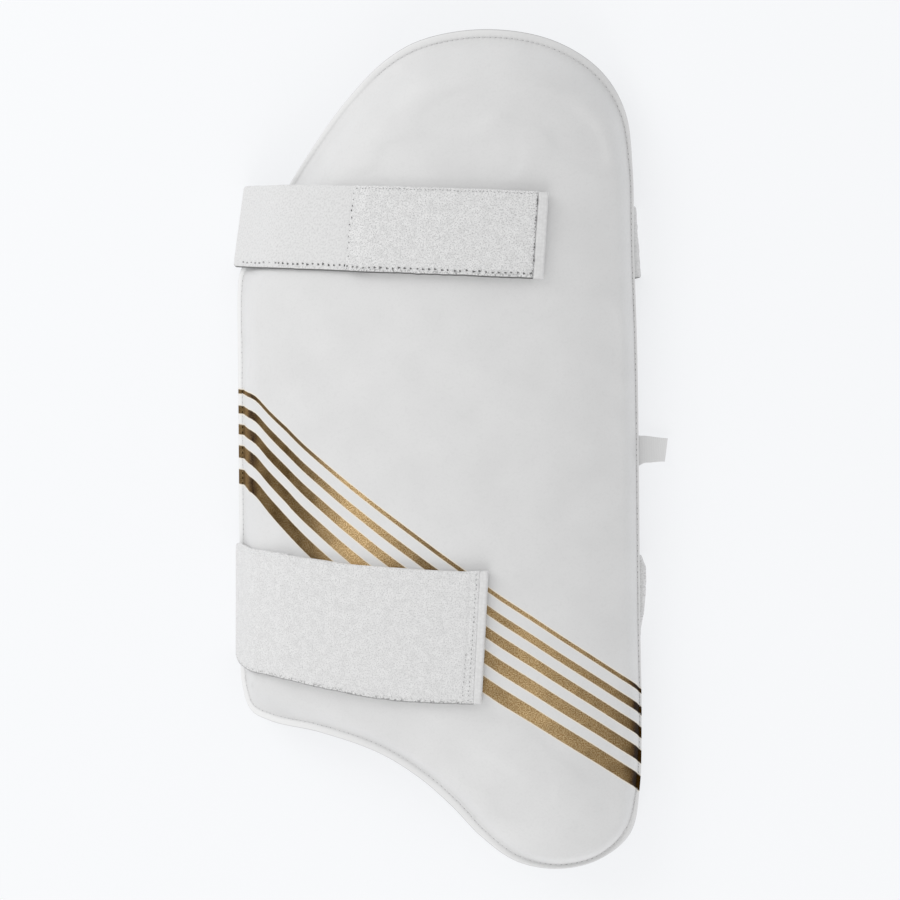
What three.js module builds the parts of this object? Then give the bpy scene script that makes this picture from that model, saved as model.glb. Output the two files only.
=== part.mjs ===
// A batting thigh pad: an arched foam pad with a coated face and a cloth back, and two elastic
// straps with touch fastening. It lies face up with both straps closed round it.
// Millimetres. x runs across the pad, y along it toward the waist, z up from the floor.
import * as THREE from "three";

// The pad, measured flat
const PAD_LENGTH = 376;
const PAD_WIDTH = 200;
const ARCH_RADIUS = 185; // of the surface where face and back are sewn together
const GAP = 0.3; // left between pieces that touch

// The sewn rim round both panels
const RIM_WIDTH = 4.5;
const RIM_PLY = 1.2;

// The foam of each panel: a steep shoulder at the rim, then a low dome
const FACE = { shoulderWidth: 16, shoulderRise: 8, domeWidth: 52, domeRise: 7 };
const BACK = { shoulderWidth: 10, shoulderRise: 4, domeWidth: 52, domeRise: 1.5 };
const SHOULDER_POWER = 1.8; // how soon the shoulder levels out
const DOME_POWER = 2.5; // and the dome

// The straps
const STRAP_PLY = 1.6;
const TOP_STRAP_WIDTH = 38;
const BOTTOM_STRAP_WIDTH = 60;
const FOLD_RADIUS = 0.8; // inside of the fold at the right edge
const FOLD_REACH = 1.5; // how far a strap runs past the pad before it folds
const TURN_RADIUS = 4; // inside of the turn round the left edge
const TURN_CLEARANCE = 0.5; // from the left edge to the strap
const LIE_CLEARANCE = 0.7; // from the face to the strap that lies on it
const SPLICE_LAP = 9; // of elastic under the start of the pile tape
const SPLICE_SPACE = 2; // between the ends of the elastic and the hook tape

// The ribbon label at the right edge
const LABEL_WIDTH = 13;
const LABEL_REACH = 13.5;
const LABEL_PLY = 0.6;

// The outline, clockwise from the top. across and along are shares of half the pad's width
// and length, shoulder is the share of each panel's shoulder width at that place.
const OUTLINE = [
  { across: 0.31, along: 0.993, shoulder: 1.1 },
  { across: 0.6, along: 0.966, shoulder: 1 },
  { across: 0.81, along: 0.897, shoulder: 0.9 },
  { across: 0.92, along: 0.805, shoulder: 0.75 },
  { across: 0.957, along: 0.67, shoulder: 0.65 },
  { across: 0.966, along: 0.48, shoulder: 0.65 },
  { across: 0.985, along: 0.22, shoulder: 0.65 },
  { across: 1.006, along: -0.4, shoulder: 0.65 },
  { across: 1.016, along: -0.66, shoulder: 0.65 },
  { across: 1.008, along: -0.82, shoulder: 0.62 },
  { across: 0.965, along: -0.925, shoulder: 0.6 },
  { across: 0.82, along: -0.985, shoulder: 0.6 },
  { across: 0.63, along: -1.005, shoulder: 0.55 },
  { across: 0.44, along: -0.985, shoulder: 0.55 },
  { across: 0.28, along: -0.925, shoulder: 0.5 },
  { across: 0.15, along: -0.855, shoulder: 0.5 },
  { across: 0, along: -0.79, shoulder: 0.5 },
  { across: -0.2, along: -0.735, shoulder: 0.55 },
  { across: -0.5, along: -0.7, shoulder: 0.7 },
  { across: -0.79, along: -0.69, shoulder: 0.9 },
  { across: -0.93, along: -0.67, shoulder: 1 },
  { across: -0.99, along: -0.61, shoulder: 1.1 },
  { across: -1, along: -0.45, shoulder: 1.2 },
  { across: -1.005, along: 0.2, shoulder: 1.2 },
  { across: -1, along: 0.34, shoulder: 1.2 },
  { across: -0.95, along: 0.42, shoulder: 1.2 },
  { across: -0.84, along: 0.487, shoulder: 1.2 },
  { across: -0.57, along: 0.7, shoulder: 1.2 },
  { across: -0.34, along: 0.84, shoulder: 1.2 },
  { across: -0.147, along: 0.93, shoulder: 1.15 },
  { across: 0.02, along: 0.973, shoulder: 1.1 },
];

// The middle line that the mesh of each panel closes on, in the outline's shares
const SPINE = [
  { across: 0.6, along: -0.79 },
  { across: 0.1, along: -0.32 },
  { across: 0, along: 0.21 },
  { across: 0.3, along: 0.64 },
];

// Where each strap lies. along is its middle and rootShift how far its root lies higher, as
// shares of half the pad's length. The ends are places across the pad as shares of half its
// width: seam where the pile tape starts, pileEnd where it stops and tabEnd at the free end.
// tilt is the whole strap's, turnLean the left turn's and endLean the free end's, in degrees.
const STRAPS = [
  {
    name: "top_strap",
    width: TOP_STRAP_WIDTH,
    along: 0.522,
    rootShift: 0,
    tilt: -2.4,
    turnLean: 5,
    endLean: 1,
    seam: -0.26,
    pileEnd: 0.55,
    tabEnd: 0.595,
  },
  {
    name: "bottom_strap",
    width: BOTTOM_STRAP_WIDTH,
    along: -0.426,
    rootShift: 0.02,
    tilt: -0.5,
    turnLean: 0,
    endLean: 3.8,
    seam: -0.69,
    pileEnd: 0.307,
    tabEnd: 0.342,
  },
];

// Mesh fineness
const STEPS_PER_SPAN = 3;
const TURN_STEPS = 8;
const SHOULDER_RINGS = [1.5, 4, 8]; // lengths inward from the rim
const FOAM_RINGS = [0, 0.14, 0.3, 0.48, 0.68, 0.88]; // shares of the way left to the middle line
const SEAM_RINGS = [0.3, 0.62, 0.88];
const SECTION_STEPS = 70; // places across the pad where a strap's support is read
const BAND_STEPS = 6; // and places over the strap's width

const white = (colour, roughness) =>
  new THREE.MeshStandardMaterial({ color: colour, roughness, metalness: 0 });
const faceLeather = white(0xdededf, 0.5);
const backCloth = white(0xd2d3d4, 0.95);
const elasticWeave = white(0xdcdddd, 0.9);
const pileTape = white(0xd8dadb, 1);
const hookTape = white(0xe2e3e4, 0.7);
const labelSatin = white(0xeceded, 0.6);

const halfWidth = PAD_WIDTH / 2;
const halfLength = PAD_LENGTH / 2;
const strapDepth = GAP / 2 + RIM_PLY + GAP + STRAP_PLY; // from the seam to a strap root's far side

const outlineCurve = new THREE.CatmullRomCurve3(
  OUTLINE.map((p) => new THREE.Vector3(p.across * halfWidth, p.along * halfLength, p.shoulder)),
  true,
  "centripetal",
);

function outlineSamples(stepsPerSpan) {
  const count = OUTLINE.length * stepsPerSpan;
  return Array.from({ length: count }, (_, i) => outlineCurve.getPoint(i / count));
}

const edge = outlineSamples(STEPS_PER_SPAN);
const fineEdge = outlineSamples(4 * STEPS_PER_SPAN);

// The arch stands so high that the tightest fold, at its widest place, just touches the floor.
const steepest = Math.max(...fineEdge.map((p) => Math.abs(p.x))) / ARCH_RADIUS;
const lowestRim =
  FOLD_RADIUS +
  STRAP_PLY +
  FOLD_REACH * Math.sin(steepest) +
  (strapDepth + FOLD_RADIUS) * Math.cos(steepest);
const archCentre = lowestRim - ARCH_RADIUS * Math.cos(steepest);

// A place on the flat pattern, at a height over the seam surface, set on the arch
function onArch(u, v, height) {
  const angle = u / ARCH_RADIUS;
  const radius = ARCH_RADIUS + height;
  return new THREE.Vector3(
    radius * Math.sin(angle),
    v,
    archCentre + radius * Math.cos(angle),
  );
}

// How far a place lies inside the outline (negative outside), and the shoulder share there
function fromEdge(u, v) {
  let nearest = Infinity;
  let shoulder = 1;
  let inside = false;
  fineEdge.forEach((a, i) => {
    const b = fineEdge[(i + 1) % fineEdge.length];
    const du = b.x - a.x;
    const dv = b.y - a.y;
    const along = THREE.MathUtils.clamp(
      ((u - a.x) * du + (v - a.y) * dv) / (du * du + dv * dv),
      0,
      1,
    );
    const distance = Math.hypot(a.x + along * du - u, a.y + along * dv - v);
    if (distance < nearest) {
      nearest = distance;
      shoulder = a.z + along * (b.z - a.z);
    }
    if (a.y > v !== b.y > v && u < a.x + ((v - a.y) / dv) * du) inside = !inside;
  });
  return { distance: inside ? nearest : -nearest, shoulder };
}

const levelling = (share, power) => 1 - (1 - Math.min(share, 1)) ** power;

// How far a panel's outer side lies from the seam surface
function foamHeight(foam, u, v) {
  const { distance, shoulder } = fromEdge(u, v);
  const inward = Math.max(distance - RIM_WIDTH, 0);
  return (
    GAP / 2 +
    RIM_PLY +
    foam.shoulderRise * levelling(inward / (foam.shoulderWidth * shoulder), SHOULDER_POWER) +
    foam.domeRise * levelling(inward / foam.domeWidth, DOME_POWER)
  );
}

const spine = SPINE.map((p) => new THREE.Vector3(p.across * halfWidth, p.along * halfLength, 0));

function nearestOnSpine(point) {
  const best = new THREE.Vector3();
  const found = new THREE.Vector3();
  let nearest = Infinity;
  for (let i = 1; i < spine.length; i += 1) {
    new THREE.Line3(spine[i - 1], spine[i]).closestPointToPoint(point, true, found);
    const distance = found.distanceTo(point);
    if (distance < nearest) {
      nearest = distance;
      best.copy(found);
    }
  }
  return best;
}

// The rim's inner line, and from each of its points the way to the middle line
const rimLine = edge.map((p, i) => {
  const before = edge[(i + edge.length - 1) % edge.length];
  const after = edge[(i + 1) % edge.length];
  const inward = new THREE.Vector3(after.y - before.y, before.x - after.x, 0).normalize();
  return new THREE.Vector3(p.x, p.y, 0).addScaledVector(inward, RIM_WIDTH);
});
const spineEnds = rimLine.map(nearestOnSpine);

const ringAtLength = (length) =>
  rimLine.map((p, i) => p.clone().lerp(spineEnds[i], length / p.distanceTo(spineEnds[i])));
const lastShoulderRing = ringAtLength(SHOULDER_RINGS.at(-1));
const ringAtShare = (from, share) => from.map((p, i) => p.clone().lerp(spineEnds[i], share));

// One side of a panel: rings of points from the outline in, closed over the middle line
function addSide(triangles, rings, height, upward) {
  const place = (p) => onArch(p.x, p.y, height(p));
  const add = (a, b, c) => triangles.push(...(upward ? [a, b, c] : [a, c, b]));
  const placed = rings.map((ring) => ring.map(place));
  for (let r = 1; r < rings.length; r += 1) {
    placed[r].forEach((inner, i) => {
      const next = (i + 1) % placed[r].length;
      const outer = placed[r - 1];
      add(outer[i], inner, placed[r][next]);
      add(outer[i], placed[r][next], outer[next]);
    });
  }
  const last = placed.at(-1);
  const flat = rings.at(-1).map((p) => new THREE.Vector2(p.x, p.y));
  for (const [a, b, c] of THREE.ShapeUtils.triangulateShape(flat, [])) {
    const turn = flat[b].clone().sub(flat[a]).cross(flat[c].clone().sub(flat[a]));
    if (turn > 0) add(last[a], last[b], last[c]);
    else add(last[a], last[c], last[b]);
  }
  return placed[0];
}

function geometryOf(triangles) {
  const geometry = new THREE.BufferGeometry().setFromPoints(triangles);
  geometry.computeVertexNormals();
  return geometry;
}

// A panel between its sewn side and its foam side. side is 1 for the face, -1 for the back.
function panelGeometry(foam, side) {
  const triangles = [];
  const foamRings = [
    edge,
    rimLine,
    ...SHOULDER_RINGS.slice(0, -1).map(ringAtLength),
    ...FOAM_RINGS.map((share) => ringAtShare(lastShoulderRing, share)),
  ];
  const seamRings = [edge, rimLine, ...SEAM_RINGS.map((share) => ringAtShare(rimLine, share))];
  const foamEdge = addSide(triangles, foamRings, (p) => side * foamHeight(foam, p.x, p.y), side > 0);
  const seamEdge = addSide(triangles, seamRings, () => (side * GAP) / 2, side < 0);
  const [upper, lower] = side > 0 ? [foamEdge, seamEdge] : [seamEdge, foamEdge];
  upper.forEach((corner, i) => {
    const next = (i + 1) % upper.length;
    triangles.push(corner, upper[next], lower[i]);
    triangles.push(upper[next], lower[next], lower[i]);
  });
  return geometryOf(triangles);
}

// The far side of a band of the given thickness: each point of the path moved to the left of travel
function offsetPath(path, distance) {
  return path.map((p, i) => {
    const before = path[Math.max(i - 1, 0)];
    const after = path[Math.min(i + 1, path.length - 1)];
    const arriving = p.clone().sub(before).normalize();
    const leaving = after.clone().sub(p).normalize();
    if (i === 0) arriving.copy(leaving);
    if (i === path.length - 1) leaving.copy(arriving);
    const middle = arriving.add(leaving).normalize();
    const stretch = distance / middle.dot(leaving);
    return new THREE.Vector2(p.x - middle.y * stretch, p.y + middle.x * stretch);
  });
}

const square = () => 0;

// A band along a path in the (along, up) plane of the given frame. At each station lean is how far
// the far edge lies ahead of the middle for each unit of width, and shift how far the middle
// lies aside.
function bandGeometry(path, thickness, width, frame, lean = square, shift = square) {
  const outer = offsetPath(path, thickness);
  const corner = (p, i, side) => {
    const aside = (side * width) / 2;
    const ahead = lean(path[i].x, i) * aside;
    return new THREE.Vector3(p.x + ahead, aside + shift(i), p.y).applyMatrix4(frame);
  };
  const triangles = [];
  const quad = (a, b, c, d) => triangles.push(a, b, c, a, c, d);
  const stations = path.map((p, i) => [
    corner(p, i, -1),
    corner(outer[i], i, -1),
    corner(outer[i], i, 1),
    corner(p, i, 1),
  ]);
  for (let i = 1; i < stations.length; i += 1) {
    const from = stations[i - 1];
    const to = stations[i];
    for (let k = 0; k < 4; k += 1) {
      const next = (k + 1) % 4;
      quad(from[k], to[k], to[next], from[next]);
    }
  }
  quad(...stations[0]);
  quad(...stations.at(-1).reverse());
  return geometryOf(triangles);
}

// Part of a path between two places along its first coordinate, which must rise
function clipPath(path, start, end) {
  const at = (x) => {
    const i = Math.max(path.findIndex((p) => p.x > x), 1);
    const share = (x - path[i - 1].x) / (path[i].x - path[i - 1].x);
    return path[i - 1].clone().lerp(path[i], share);
  };
  return [at(start), ...path.filter((p) => p.x > start && p.x < end), at(end)];
}

function arc(centre, radius, fromAngle, toAngle) {
  return Array.from({ length: TURN_STEPS + 1 }, (_, i) => {
    const angle = THREE.MathUtils.lerp(fromAngle, toAngle, i / TURN_STEPS);
    return new THREE.Vector2(
      centre.x + radius * Math.cos(angle),
      centre.y + radius * Math.sin(angle),
    );
  });
}

// The tight upper line over a cloud of points, from left to right
function tightLine(points) {
  const sorted = [...points].sort((a, b) => a.x - b.x || a.y - b.y);
  const line = [];
  for (const p of sorted) {
    while (line.length > 1) {
      const a = line.at(-2);
      const b = line.at(-1);
      if ((b.x - a.x) * (p.y - a.y) - (b.y - a.y) * (p.x - a.x) < 0) break;
      line.pop();
    }
    line.push(p);
  }
  return line;
}

// A strap's own frame: first axis along it, second across it, third up
function strapFrame(strap) {
  return new THREE.Matrix4()
    .makeRotationZ(THREE.MathUtils.degToRad(strap.tilt))
    .setPosition(0, strap.along * halfLength, 0);
}

// The right or left edge in a band of the pad: the flat place of its outermost point
function outermost(middle, width, side) {
  const band = fineEdge.filter((p) => p.x * side > 0 && Math.abs(p.y - middle) < width / 2);
  return band.reduce((a, b) => (b.x * side > a.x * side ? b : a)).x;
}

// What the strap lies on: the face in the strap's band, raised by the clearance, each place
// moved to the station that passes over it
function supportPoints(strap, lean) {
  const frame = strapFrame(strap);
  const inverse = frame.clone().invert();
  const points = [];
  for (let i = 0; i <= SECTION_STEPS; i += 1) {
    const u = THREE.MathUtils.lerp(-halfWidth, halfWidth, i / SECTION_STEPS);
    const x = ARCH_RADIUS * Math.sin(u / ARCH_RADIUS);
    for (let k = 0; k <= BAND_STEPS; k += 1) {
      const across = (k / BAND_STEPS - 0.5) * strap.width;
      const v = new THREE.Vector3(x, across, 0).applyMatrix4(frame).y;
      if (fromEdge(u, v).distance < 0) continue;
      const top = onArch(u, v, foamHeight(FACE, u, v) + LIE_CLEARANCE).applyMatrix4(inverse);
      points.push(new THREE.Vector2(top.x - lean(top.x) * across, top.z));
    }
  }
  return points;
}

function strapMeshes(strap) {
  const frame = strapFrame(strap);
  const half = strap.width / 2;

  // The root lies under the rim at the right edge and folds back there. Its line runs straight
  // along the pad, so the tilted band leans there.
  const middle = strap.along * halfLength;
  const rootMiddle = middle + strap.rootShift * halfLength;
  const rightEdge = outermost(rootMiddle, strap.width, 1);
  const slope = rightEdge / ARCH_RADIUS;
  const outward = new THREE.Vector2(Math.cos(slope), -Math.sin(slope));
  const upward = new THREE.Vector2(Math.sin(slope), Math.cos(slope));
  const rimPoint = onArch(rightEdge, 0, -strapDepth);
  const underRim = new THREE.Vector2(rimPoint.x, rimPoint.z);
  const rootStart = underRim.clone().addScaledVector(outward, GAP - RIM_WIDTH);
  const foldStart = underRim.clone().addScaledVector(outward, FOLD_REACH);
  const foldRadius = (foldStart.y - STRAP_PLY) / (1 + Math.cos(slope));
  const foldCentre = foldStart.clone().addScaledVector(upward, -foldRadius);
  const fold = arc(foldCentre, foldRadius, Math.PI / 2 - slope, -Math.PI / 2);
  const rootLean = Math.tan(THREE.MathUtils.degToRad(strap.tilt));

  // The turn passes the outermost part of the left edge.
  const leftEdge = onArch(outermost(middle, strap.width, -1), 0, GAP / 2 + RIM_PLY);
  const turnLeft = leftEdge.x - TURN_CLEARANCE - Math.abs(rootLean * half);
  const turnCentre = new THREE.Vector2(turnLeft + TURN_RADIUS, STRAP_PLY + TURN_RADIUS);
  const turn = arc(turnCentre, TURN_RADIUS, -Math.PI / 2, -1.5 * Math.PI);
  const below = turn.filter((p) => p.y < turnCentre.y);

  const seam = strap.seam * halfWidth;
  const pileEnd = strap.pileEnd * halfWidth;
  const tabEnd = strap.tabEnd * halfWidth;
  const elasticEnd = seam + SPLICE_LAP;
  const lean = (x) => {
    const degrees = THREE.MathUtils.mapLinear(x, turnLeft, tabEnd, strap.turnLean, strap.endLean);
    return Math.tan(THREE.MathUtils.degToRad(degrees));
  };
  const support = supportPoints(strap, lean);
  const over = tightLine([...turn.filter((p) => p.y >= turnCentre.y), ...support]);
  const path = [rootStart, ...fold, ...below, ...clipPath(over, over[0].x, elasticEnd)];
  const atRoot = (i) => i <= fold.length;
  const elasticLean = (x, i) => (atRoot(i) ? rootLean : lean(x));
  const elasticShift = (i) => (atRoot(i) ? rootMiddle - middle : 0);
  const pilePath = offsetPath(clipPath(over, seam, pileEnd), STRAP_PLY + GAP);
  const hookPath = clipPath(over, elasticEnd + SPLICE_SPACE, tabEnd);
  const band = (line, ...slants) => bandGeometry(line, STRAP_PLY, strap.width, frame, ...slants);
  const pieces = [
    ["elastic", band(path, elasticLean, elasticShift), elasticWeave],
    ["pile", band(pilePath, lean), pileTape],
    ["hook", band(hookPath, lean), hookTape],
  ];
  return pieces.map(([piece, geometry, material]) => {
    const mesh = new THREE.Mesh(geometry, material);
    mesh.name = `${strap.name}_${piece}`;
    return mesh;
  });
}

// The label comes out from under the rim and levels out.
function labelMesh() {
  const rightEdge = outermost(0, LABEL_WIDTH, 1);
  const rimSlope = rightEdge / ARCH_RADIUS;
  const rimPoint = onArch(rightEdge, 0, -(GAP / 2 + RIM_PLY + GAP + LABEL_PLY));
  const outward = new THREE.Vector2(Math.cos(rimSlope), -Math.sin(rimSlope));
  const start = new THREE.Vector2(rimPoint.x, rimPoint.z);
  const path = [start.addScaledVector(outward, GAP - RIM_WIDTH)];
  const step = (RIM_WIDTH - GAP + LABEL_REACH) / TURN_STEPS;
  for (let i = 0; i < TURN_STEPS; i += 1) {
    const slope = rimSlope * (1 - i / (TURN_STEPS - 1));
    const last = path.at(-1);
    path.push(new THREE.Vector2(last.x + step * Math.cos(slope), last.y - step * Math.sin(slope)));
  }
  const mesh = new THREE.Mesh(
    bandGeometry(path, LABEL_PLY, LABEL_WIDTH, new THREE.Matrix4()),
    labelSatin,
  );
  mesh.name = "side_label";
  return mesh;
}

const face = new THREE.Mesh(panelGeometry(FACE, 1), faceLeather);
face.name = "pad_face";
const back = new THREE.Mesh(panelGeometry(BACK, -1), backCloth);
back.name = "pad_back";

const pad = new THREE.Group();
pad.add(face, back, ...STRAPS.flatMap(strapMeshes), labelMesh());

// The origin is on the floor under the middle of the whole thing.
const box = new THREE.Box3().setFromObject(pad);
const centre = box.getCenter(new THREE.Vector3());
pad.position.set(-centre.x, -centre.y, -box.min.z);

export default pad;
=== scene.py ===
import math

import bpy
import numpy as np
from mathutils import Matrix, Vector, geometry, kdtree, noise


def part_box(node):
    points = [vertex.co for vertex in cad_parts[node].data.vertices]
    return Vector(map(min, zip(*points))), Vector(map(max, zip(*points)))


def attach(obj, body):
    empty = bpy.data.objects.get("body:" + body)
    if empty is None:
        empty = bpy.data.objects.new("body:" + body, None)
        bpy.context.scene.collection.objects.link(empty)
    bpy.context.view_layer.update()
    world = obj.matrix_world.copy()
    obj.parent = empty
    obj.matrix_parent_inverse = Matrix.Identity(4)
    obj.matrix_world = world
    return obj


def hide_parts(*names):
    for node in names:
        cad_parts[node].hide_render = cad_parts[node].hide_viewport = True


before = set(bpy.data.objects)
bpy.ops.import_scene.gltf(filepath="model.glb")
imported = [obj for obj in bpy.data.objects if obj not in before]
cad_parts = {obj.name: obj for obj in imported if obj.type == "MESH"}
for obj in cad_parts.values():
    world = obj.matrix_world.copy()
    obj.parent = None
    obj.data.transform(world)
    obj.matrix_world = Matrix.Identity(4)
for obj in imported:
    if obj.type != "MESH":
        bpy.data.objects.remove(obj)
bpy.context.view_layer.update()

# Sizes are in millimetres, as in the part's source, until a mesh is made in metres.
MM = 0.001

# The pad, measured flat
PAD_LENGTH = 376.0
PAD_WIDTH = 200.0
ARCH_RADIUS = 185.0
GAP = 0.3
RIM_WIDTH = 4.5
RIM_PLY = 1.2
FACE = {
    "shoulder_width": 16.0, "shoulder_rise": 8.0, "dome_width": 52.0, "dome_rise": 7.0, "side": 1
}
BACK = {
    "shoulder_width": 10.0, "shoulder_rise": 4.0, "dome_width": 52.0, "dome_rise": 1.5, "side": -1
}
SHOULDER_POWER = 1.8
DOME_POWER = 2.5
PLY_ROUNDING = 0.4  # of the rim's cut edge

# The straps. along to tab_end are as in the part's source: places along the pad are shares of
# half its length, places across it shares of half its width, and angles are in degrees. bow is
# how far the left end lies higher than the rest, easing out between bow_from and bow_to.
# turn_reach is how far the band's turn stands out past the left edge, over what the clearance
# gives. corners are the radii of the lower and upper corner there, gathered is how much the
# lower and upper side draw in at the fold, draw_in the same by the place across, and fold_reach
# is how the fold's reach changes over the width.
STRAP_PLY = 1.6
FOLD_REACH = 1.3
TURN_RADIUS = 4.0
TURN_CLEARANCE = 0.5
LIE_CLEARANCE = 0.45
SPLICE_LAP = 9.0
SPLICE_SPACE = 2.0
TOP_STRAP = {
    "name": "top_strap", "width": 38.0, "along": 0.522, "root_shift": 0.0, "tilt": -2.4,
    "turn_lean": 6.2, "turn_reach": -1.6, "end_lean": 1.0, "seam": -0.272, "pile_end": 0.55,
    "tab_end": 0.595, "bow": 0.0, "bow_from": -72.0, "bow_to": -20.0, "corners": (3.0, 2.2),
    "gathered": (3.0, 4.0), "draw_in": [(-100.0, 0.0, 0.0), (100.0, 0.0, 0.0)],
    "fold_reach": [(-19.0, 0.2), (-15.0, 0.1), (15.0, -2.3), (19.0, -2.8)],
}
BOTTOM_STRAP = {
    "name": "bottom_strap",
    "width": 60.0,
    "along": -0.426,
    "root_shift": 0.02,
    "tilt": -0.5,
    "turn_lean": 0.0,
    "turn_reach": 0.4,
    "end_lean": 2.5,
    "seam": -0.69,
    "pile_end": 0.307,
    "tab_end": 0.342,
    "bow": 3.7,
    "bow_from": -72.0,
    "bow_to": -20.0,
    "corners": (7.0, 3.0),
    "gathered": (0.0, 0.0),
    "draw_in": [
        (-100.0, 1.4, 1.0), (-56.0, 1.6, 1.0), (-41.0, 1.65, 0.3), (-32.0, 1.65, 0.2),
        (-21.5, 0.9, 0.2), (-3.0, -0.3, 0.5), (10.0, -0.4, 0.85), (23.5, -0.1, 1.0),
        (32.0, 0.0, 0.3), (40.0, 0.0, 0.2),
    ],
    "fold_reach": [
        (-30.0, -5.0), (-8.0, -2.6), (-2.0, -1.8), (5.0, -0.7), (14.0, 0.0), (24.0, 0.0),
        (28.0, -1.6), (30.0, -2.4),
    ],
}

# The ribbon label
LABEL_WIDTH = 13.0
LABEL_REACH = 13.5
LABEL_LENGTH = 17.7  # of its path, from its sewn end under the rim
LABEL_PLY = 0.6

# The outline, clockwise from the top, in shares of half the width and half the length.
# shoulder is a share of each panel's shoulder width, rim a share of the face's rim width, and
# soft is how gently the foam rises there, from 0, a crisp crease, to 1, a slow swell.
# Columns: across, along, shoulder, rim, soft
OUTLINE = [
    (0.31, 0.993, 1.10, 1.0, 0.5),
    (0.60, 0.966, 1.00, 1.0, 0.4),
    (0.81, 0.897, 0.90, 0.9, 0.4),
    (0.92, 0.805, 0.75, 0.7, 0.2),
    (0.957, 0.67, 0.6, 0.42, 0.1),
    (0.966, 0.48, 0.55, 0.34, 0.1),
    (0.985, 0.22, 0.55, 0.32, 0.1),
    (1.006, -0.40, 0.55, 0.32, 0.1),
    (1.016, -0.66, 0.55, 0.28, 0.1),
    (1.008, -0.82, 0.55, 0.45, 0.1),
    (0.965, -0.925, 0.45, 0.8, 0.0),
    (0.82, -0.985, 0.38, 0.5, 0.0),
    (0.63, -1.005, 0.38, 0.5, 0.0),
    (0.44, -0.985, 0.45, 0.75, 0.0),
    (0.28, -0.925, 0.50, 0.9, 0.1),
    (0.15, -0.855, 0.50, 1.0, 0.2),
    (0.0, -0.79, 0.50, 1.0, 0.0),
    (-0.2, -0.735, 0.55, 1.0, 0.0),
    (-0.5, -0.70, 0.70, 1.0, 0.1),
    (-0.79, -0.69, 0.90, 1.0, 0.4),
    (-0.93, -0.67, 1.00, 0.95, 0.7),
    (-0.99, -0.61, 1.10, 0.9, 0.9),
    (-1.0, -0.45, 1.20, 0.85, 1.0),
    (-1.005, 0.20, 1.20, 0.85, 1.0),
    (-1.003, 0.385, 1.20, 0.85, 1.0),
    (-0.986, 0.429, 1.20, 0.85, 1.0),
    (-0.865, 0.502, 1.20, 0.7, 1.0),
    (-0.57, 0.70, 1.20, 0.65, 0.9),
    (-0.34, 0.84, 1.20, 0.75, 0.8),
    (-0.147, 0.93, 1.15, 0.9, 0.7),
    (0.02, 0.973, 1.10, 1.0, 0.6),
]

# The stripes printed on the face, from the top down: first and last millimetre of each, on a
# line along the pad
STRIPES = [(35.0, 37.1), (43.3, 47.3), (52.9, 58.0), (63.7, 70.0), (75.9, 83.4)]
# How the stripes run: place across the flat pad, how far the set lies down the pad there,
# and how wide it is for its width in the middle
STRIPE_RUN = [
    (-103.0, 58.2, 0.92), (-88.0, 58.1, 0.935), (-80.7, 58.0, 0.951), (-76.3, 57.4, 0.96),
    (-73.1, 56.1, 0.967), (-67.4, 52.0, 0.977), (-57.2, 45.1, 0.993), (-47.9, 38.0, 1.005),
    (-39.1, 31.5, 1.013), (-30.7, 25.1, 1.019), (-14.5, 12.8, 1.023), (1.0, 1.1, 1.02),
    (37.3, -27.5, 0.995), (50.3, -37.1, 0.983), (63.4, -47.0, 0.974), (77.0, -57.0, 0.967),
    (87.9, -64.8, 0.967), (97.3, -71.0, 0.972), (103.0, -75.0, 0.98),
]

# Mesh fineness
EDGE_STEP = 1.5
GRID_STEP = 1.7
UNDERSIDE_STEP = 7.0
CLOTH_STEP = 5.0
BROAD_SWELL = 16.0  # the settled cloth is averaged over this, and only its folds are kept
FOLD_SOFTENING = 5.0
STRAP_STEP = 0.9
PILE_STEP = 0.55

# Stitching
TOPSTITCH_PITCH = 2.4
TOPSTITCH_LINE = 0.78  # share of the rim's width

half_width = PAD_WIDTH / 2
half_length = PAD_LENGTH / 2
strap_depth = GAP / 2 + RIM_PLY + GAP + STRAP_PLY


# The pad's shape


def outline(steps):
    """Points on the closed curve through the table: across and along, then the three shares."""
    rows = np.array(OUTLINE)
    rows[:, 0] *= half_width
    rows[:, 1] *= half_length
    out = []
    for i in range(len(rows)):
        p0, p1, p2, p3 = (rows[(i + k) % len(rows)] for k in (-1, 0, 1, 2))
        spans = ((p0, p1), (p1, p2), (p2, p3))
        a, b, c = (math.sqrt(np.linalg.norm(q[:3] - p[:3])) for p, q in spans)
        start = b * ((p1 - p0) / a - (p2 - p0) / (a + b) + (p2 - p1) / b)
        end = b * ((p2 - p1) / b - (p3 - p1) / (b + c) + (p3 - p2) / c)
        for k in range(steps):
            t = k / steps
            point = (2 * t**3 - 3 * t**2 + 1) * p1 + (3 * t**2 - 2 * t**3) * p2
            point += (t**3 - 2 * t**2 + t) * start + (t**3 - t**2) * end
            point[2:] = p1[2:] + t * (p2[2:] - p1[2:])
            out.append(point)
    return np.array(out)


def resample(points, step, closed=False):
    """The same line with evenly spaced points, and the length along it at each."""
    line = np.vstack((points, points[:1])) if closed else np.asarray(points)
    along = np.concatenate(([0], np.cumsum(np.linalg.norm(np.diff(line[:, :2], axis=0), axis=1))))
    count = max(int(round(along[-1] / step)), 2)
    at = np.linspace(0, along[-1], count + 1)
    if closed:
        at = at[:-1]
    return np.column_stack([np.interp(at, along, column) for column in line.T]), at


edge = outline(20)

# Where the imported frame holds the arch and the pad
face_low, face_high = (np.array(corner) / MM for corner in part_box("pad_face"))
cad_edge = outline(3)
widest = np.abs(cad_edge[:, 0]).max()
arch_x = face_low[0] - (ARCH_RADIUS + GAP / 2 + RIM_PLY) * math.sin(
    cad_edge[:, 0].min() / ARCH_RADIUS
)
arch_z = face_low[2] - (ARCH_RADIUS + GAP / 2) * math.cos(widest / ARCH_RADIUS)
pad_y = face_high[1] - cad_edge[:, 1].max()


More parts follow.
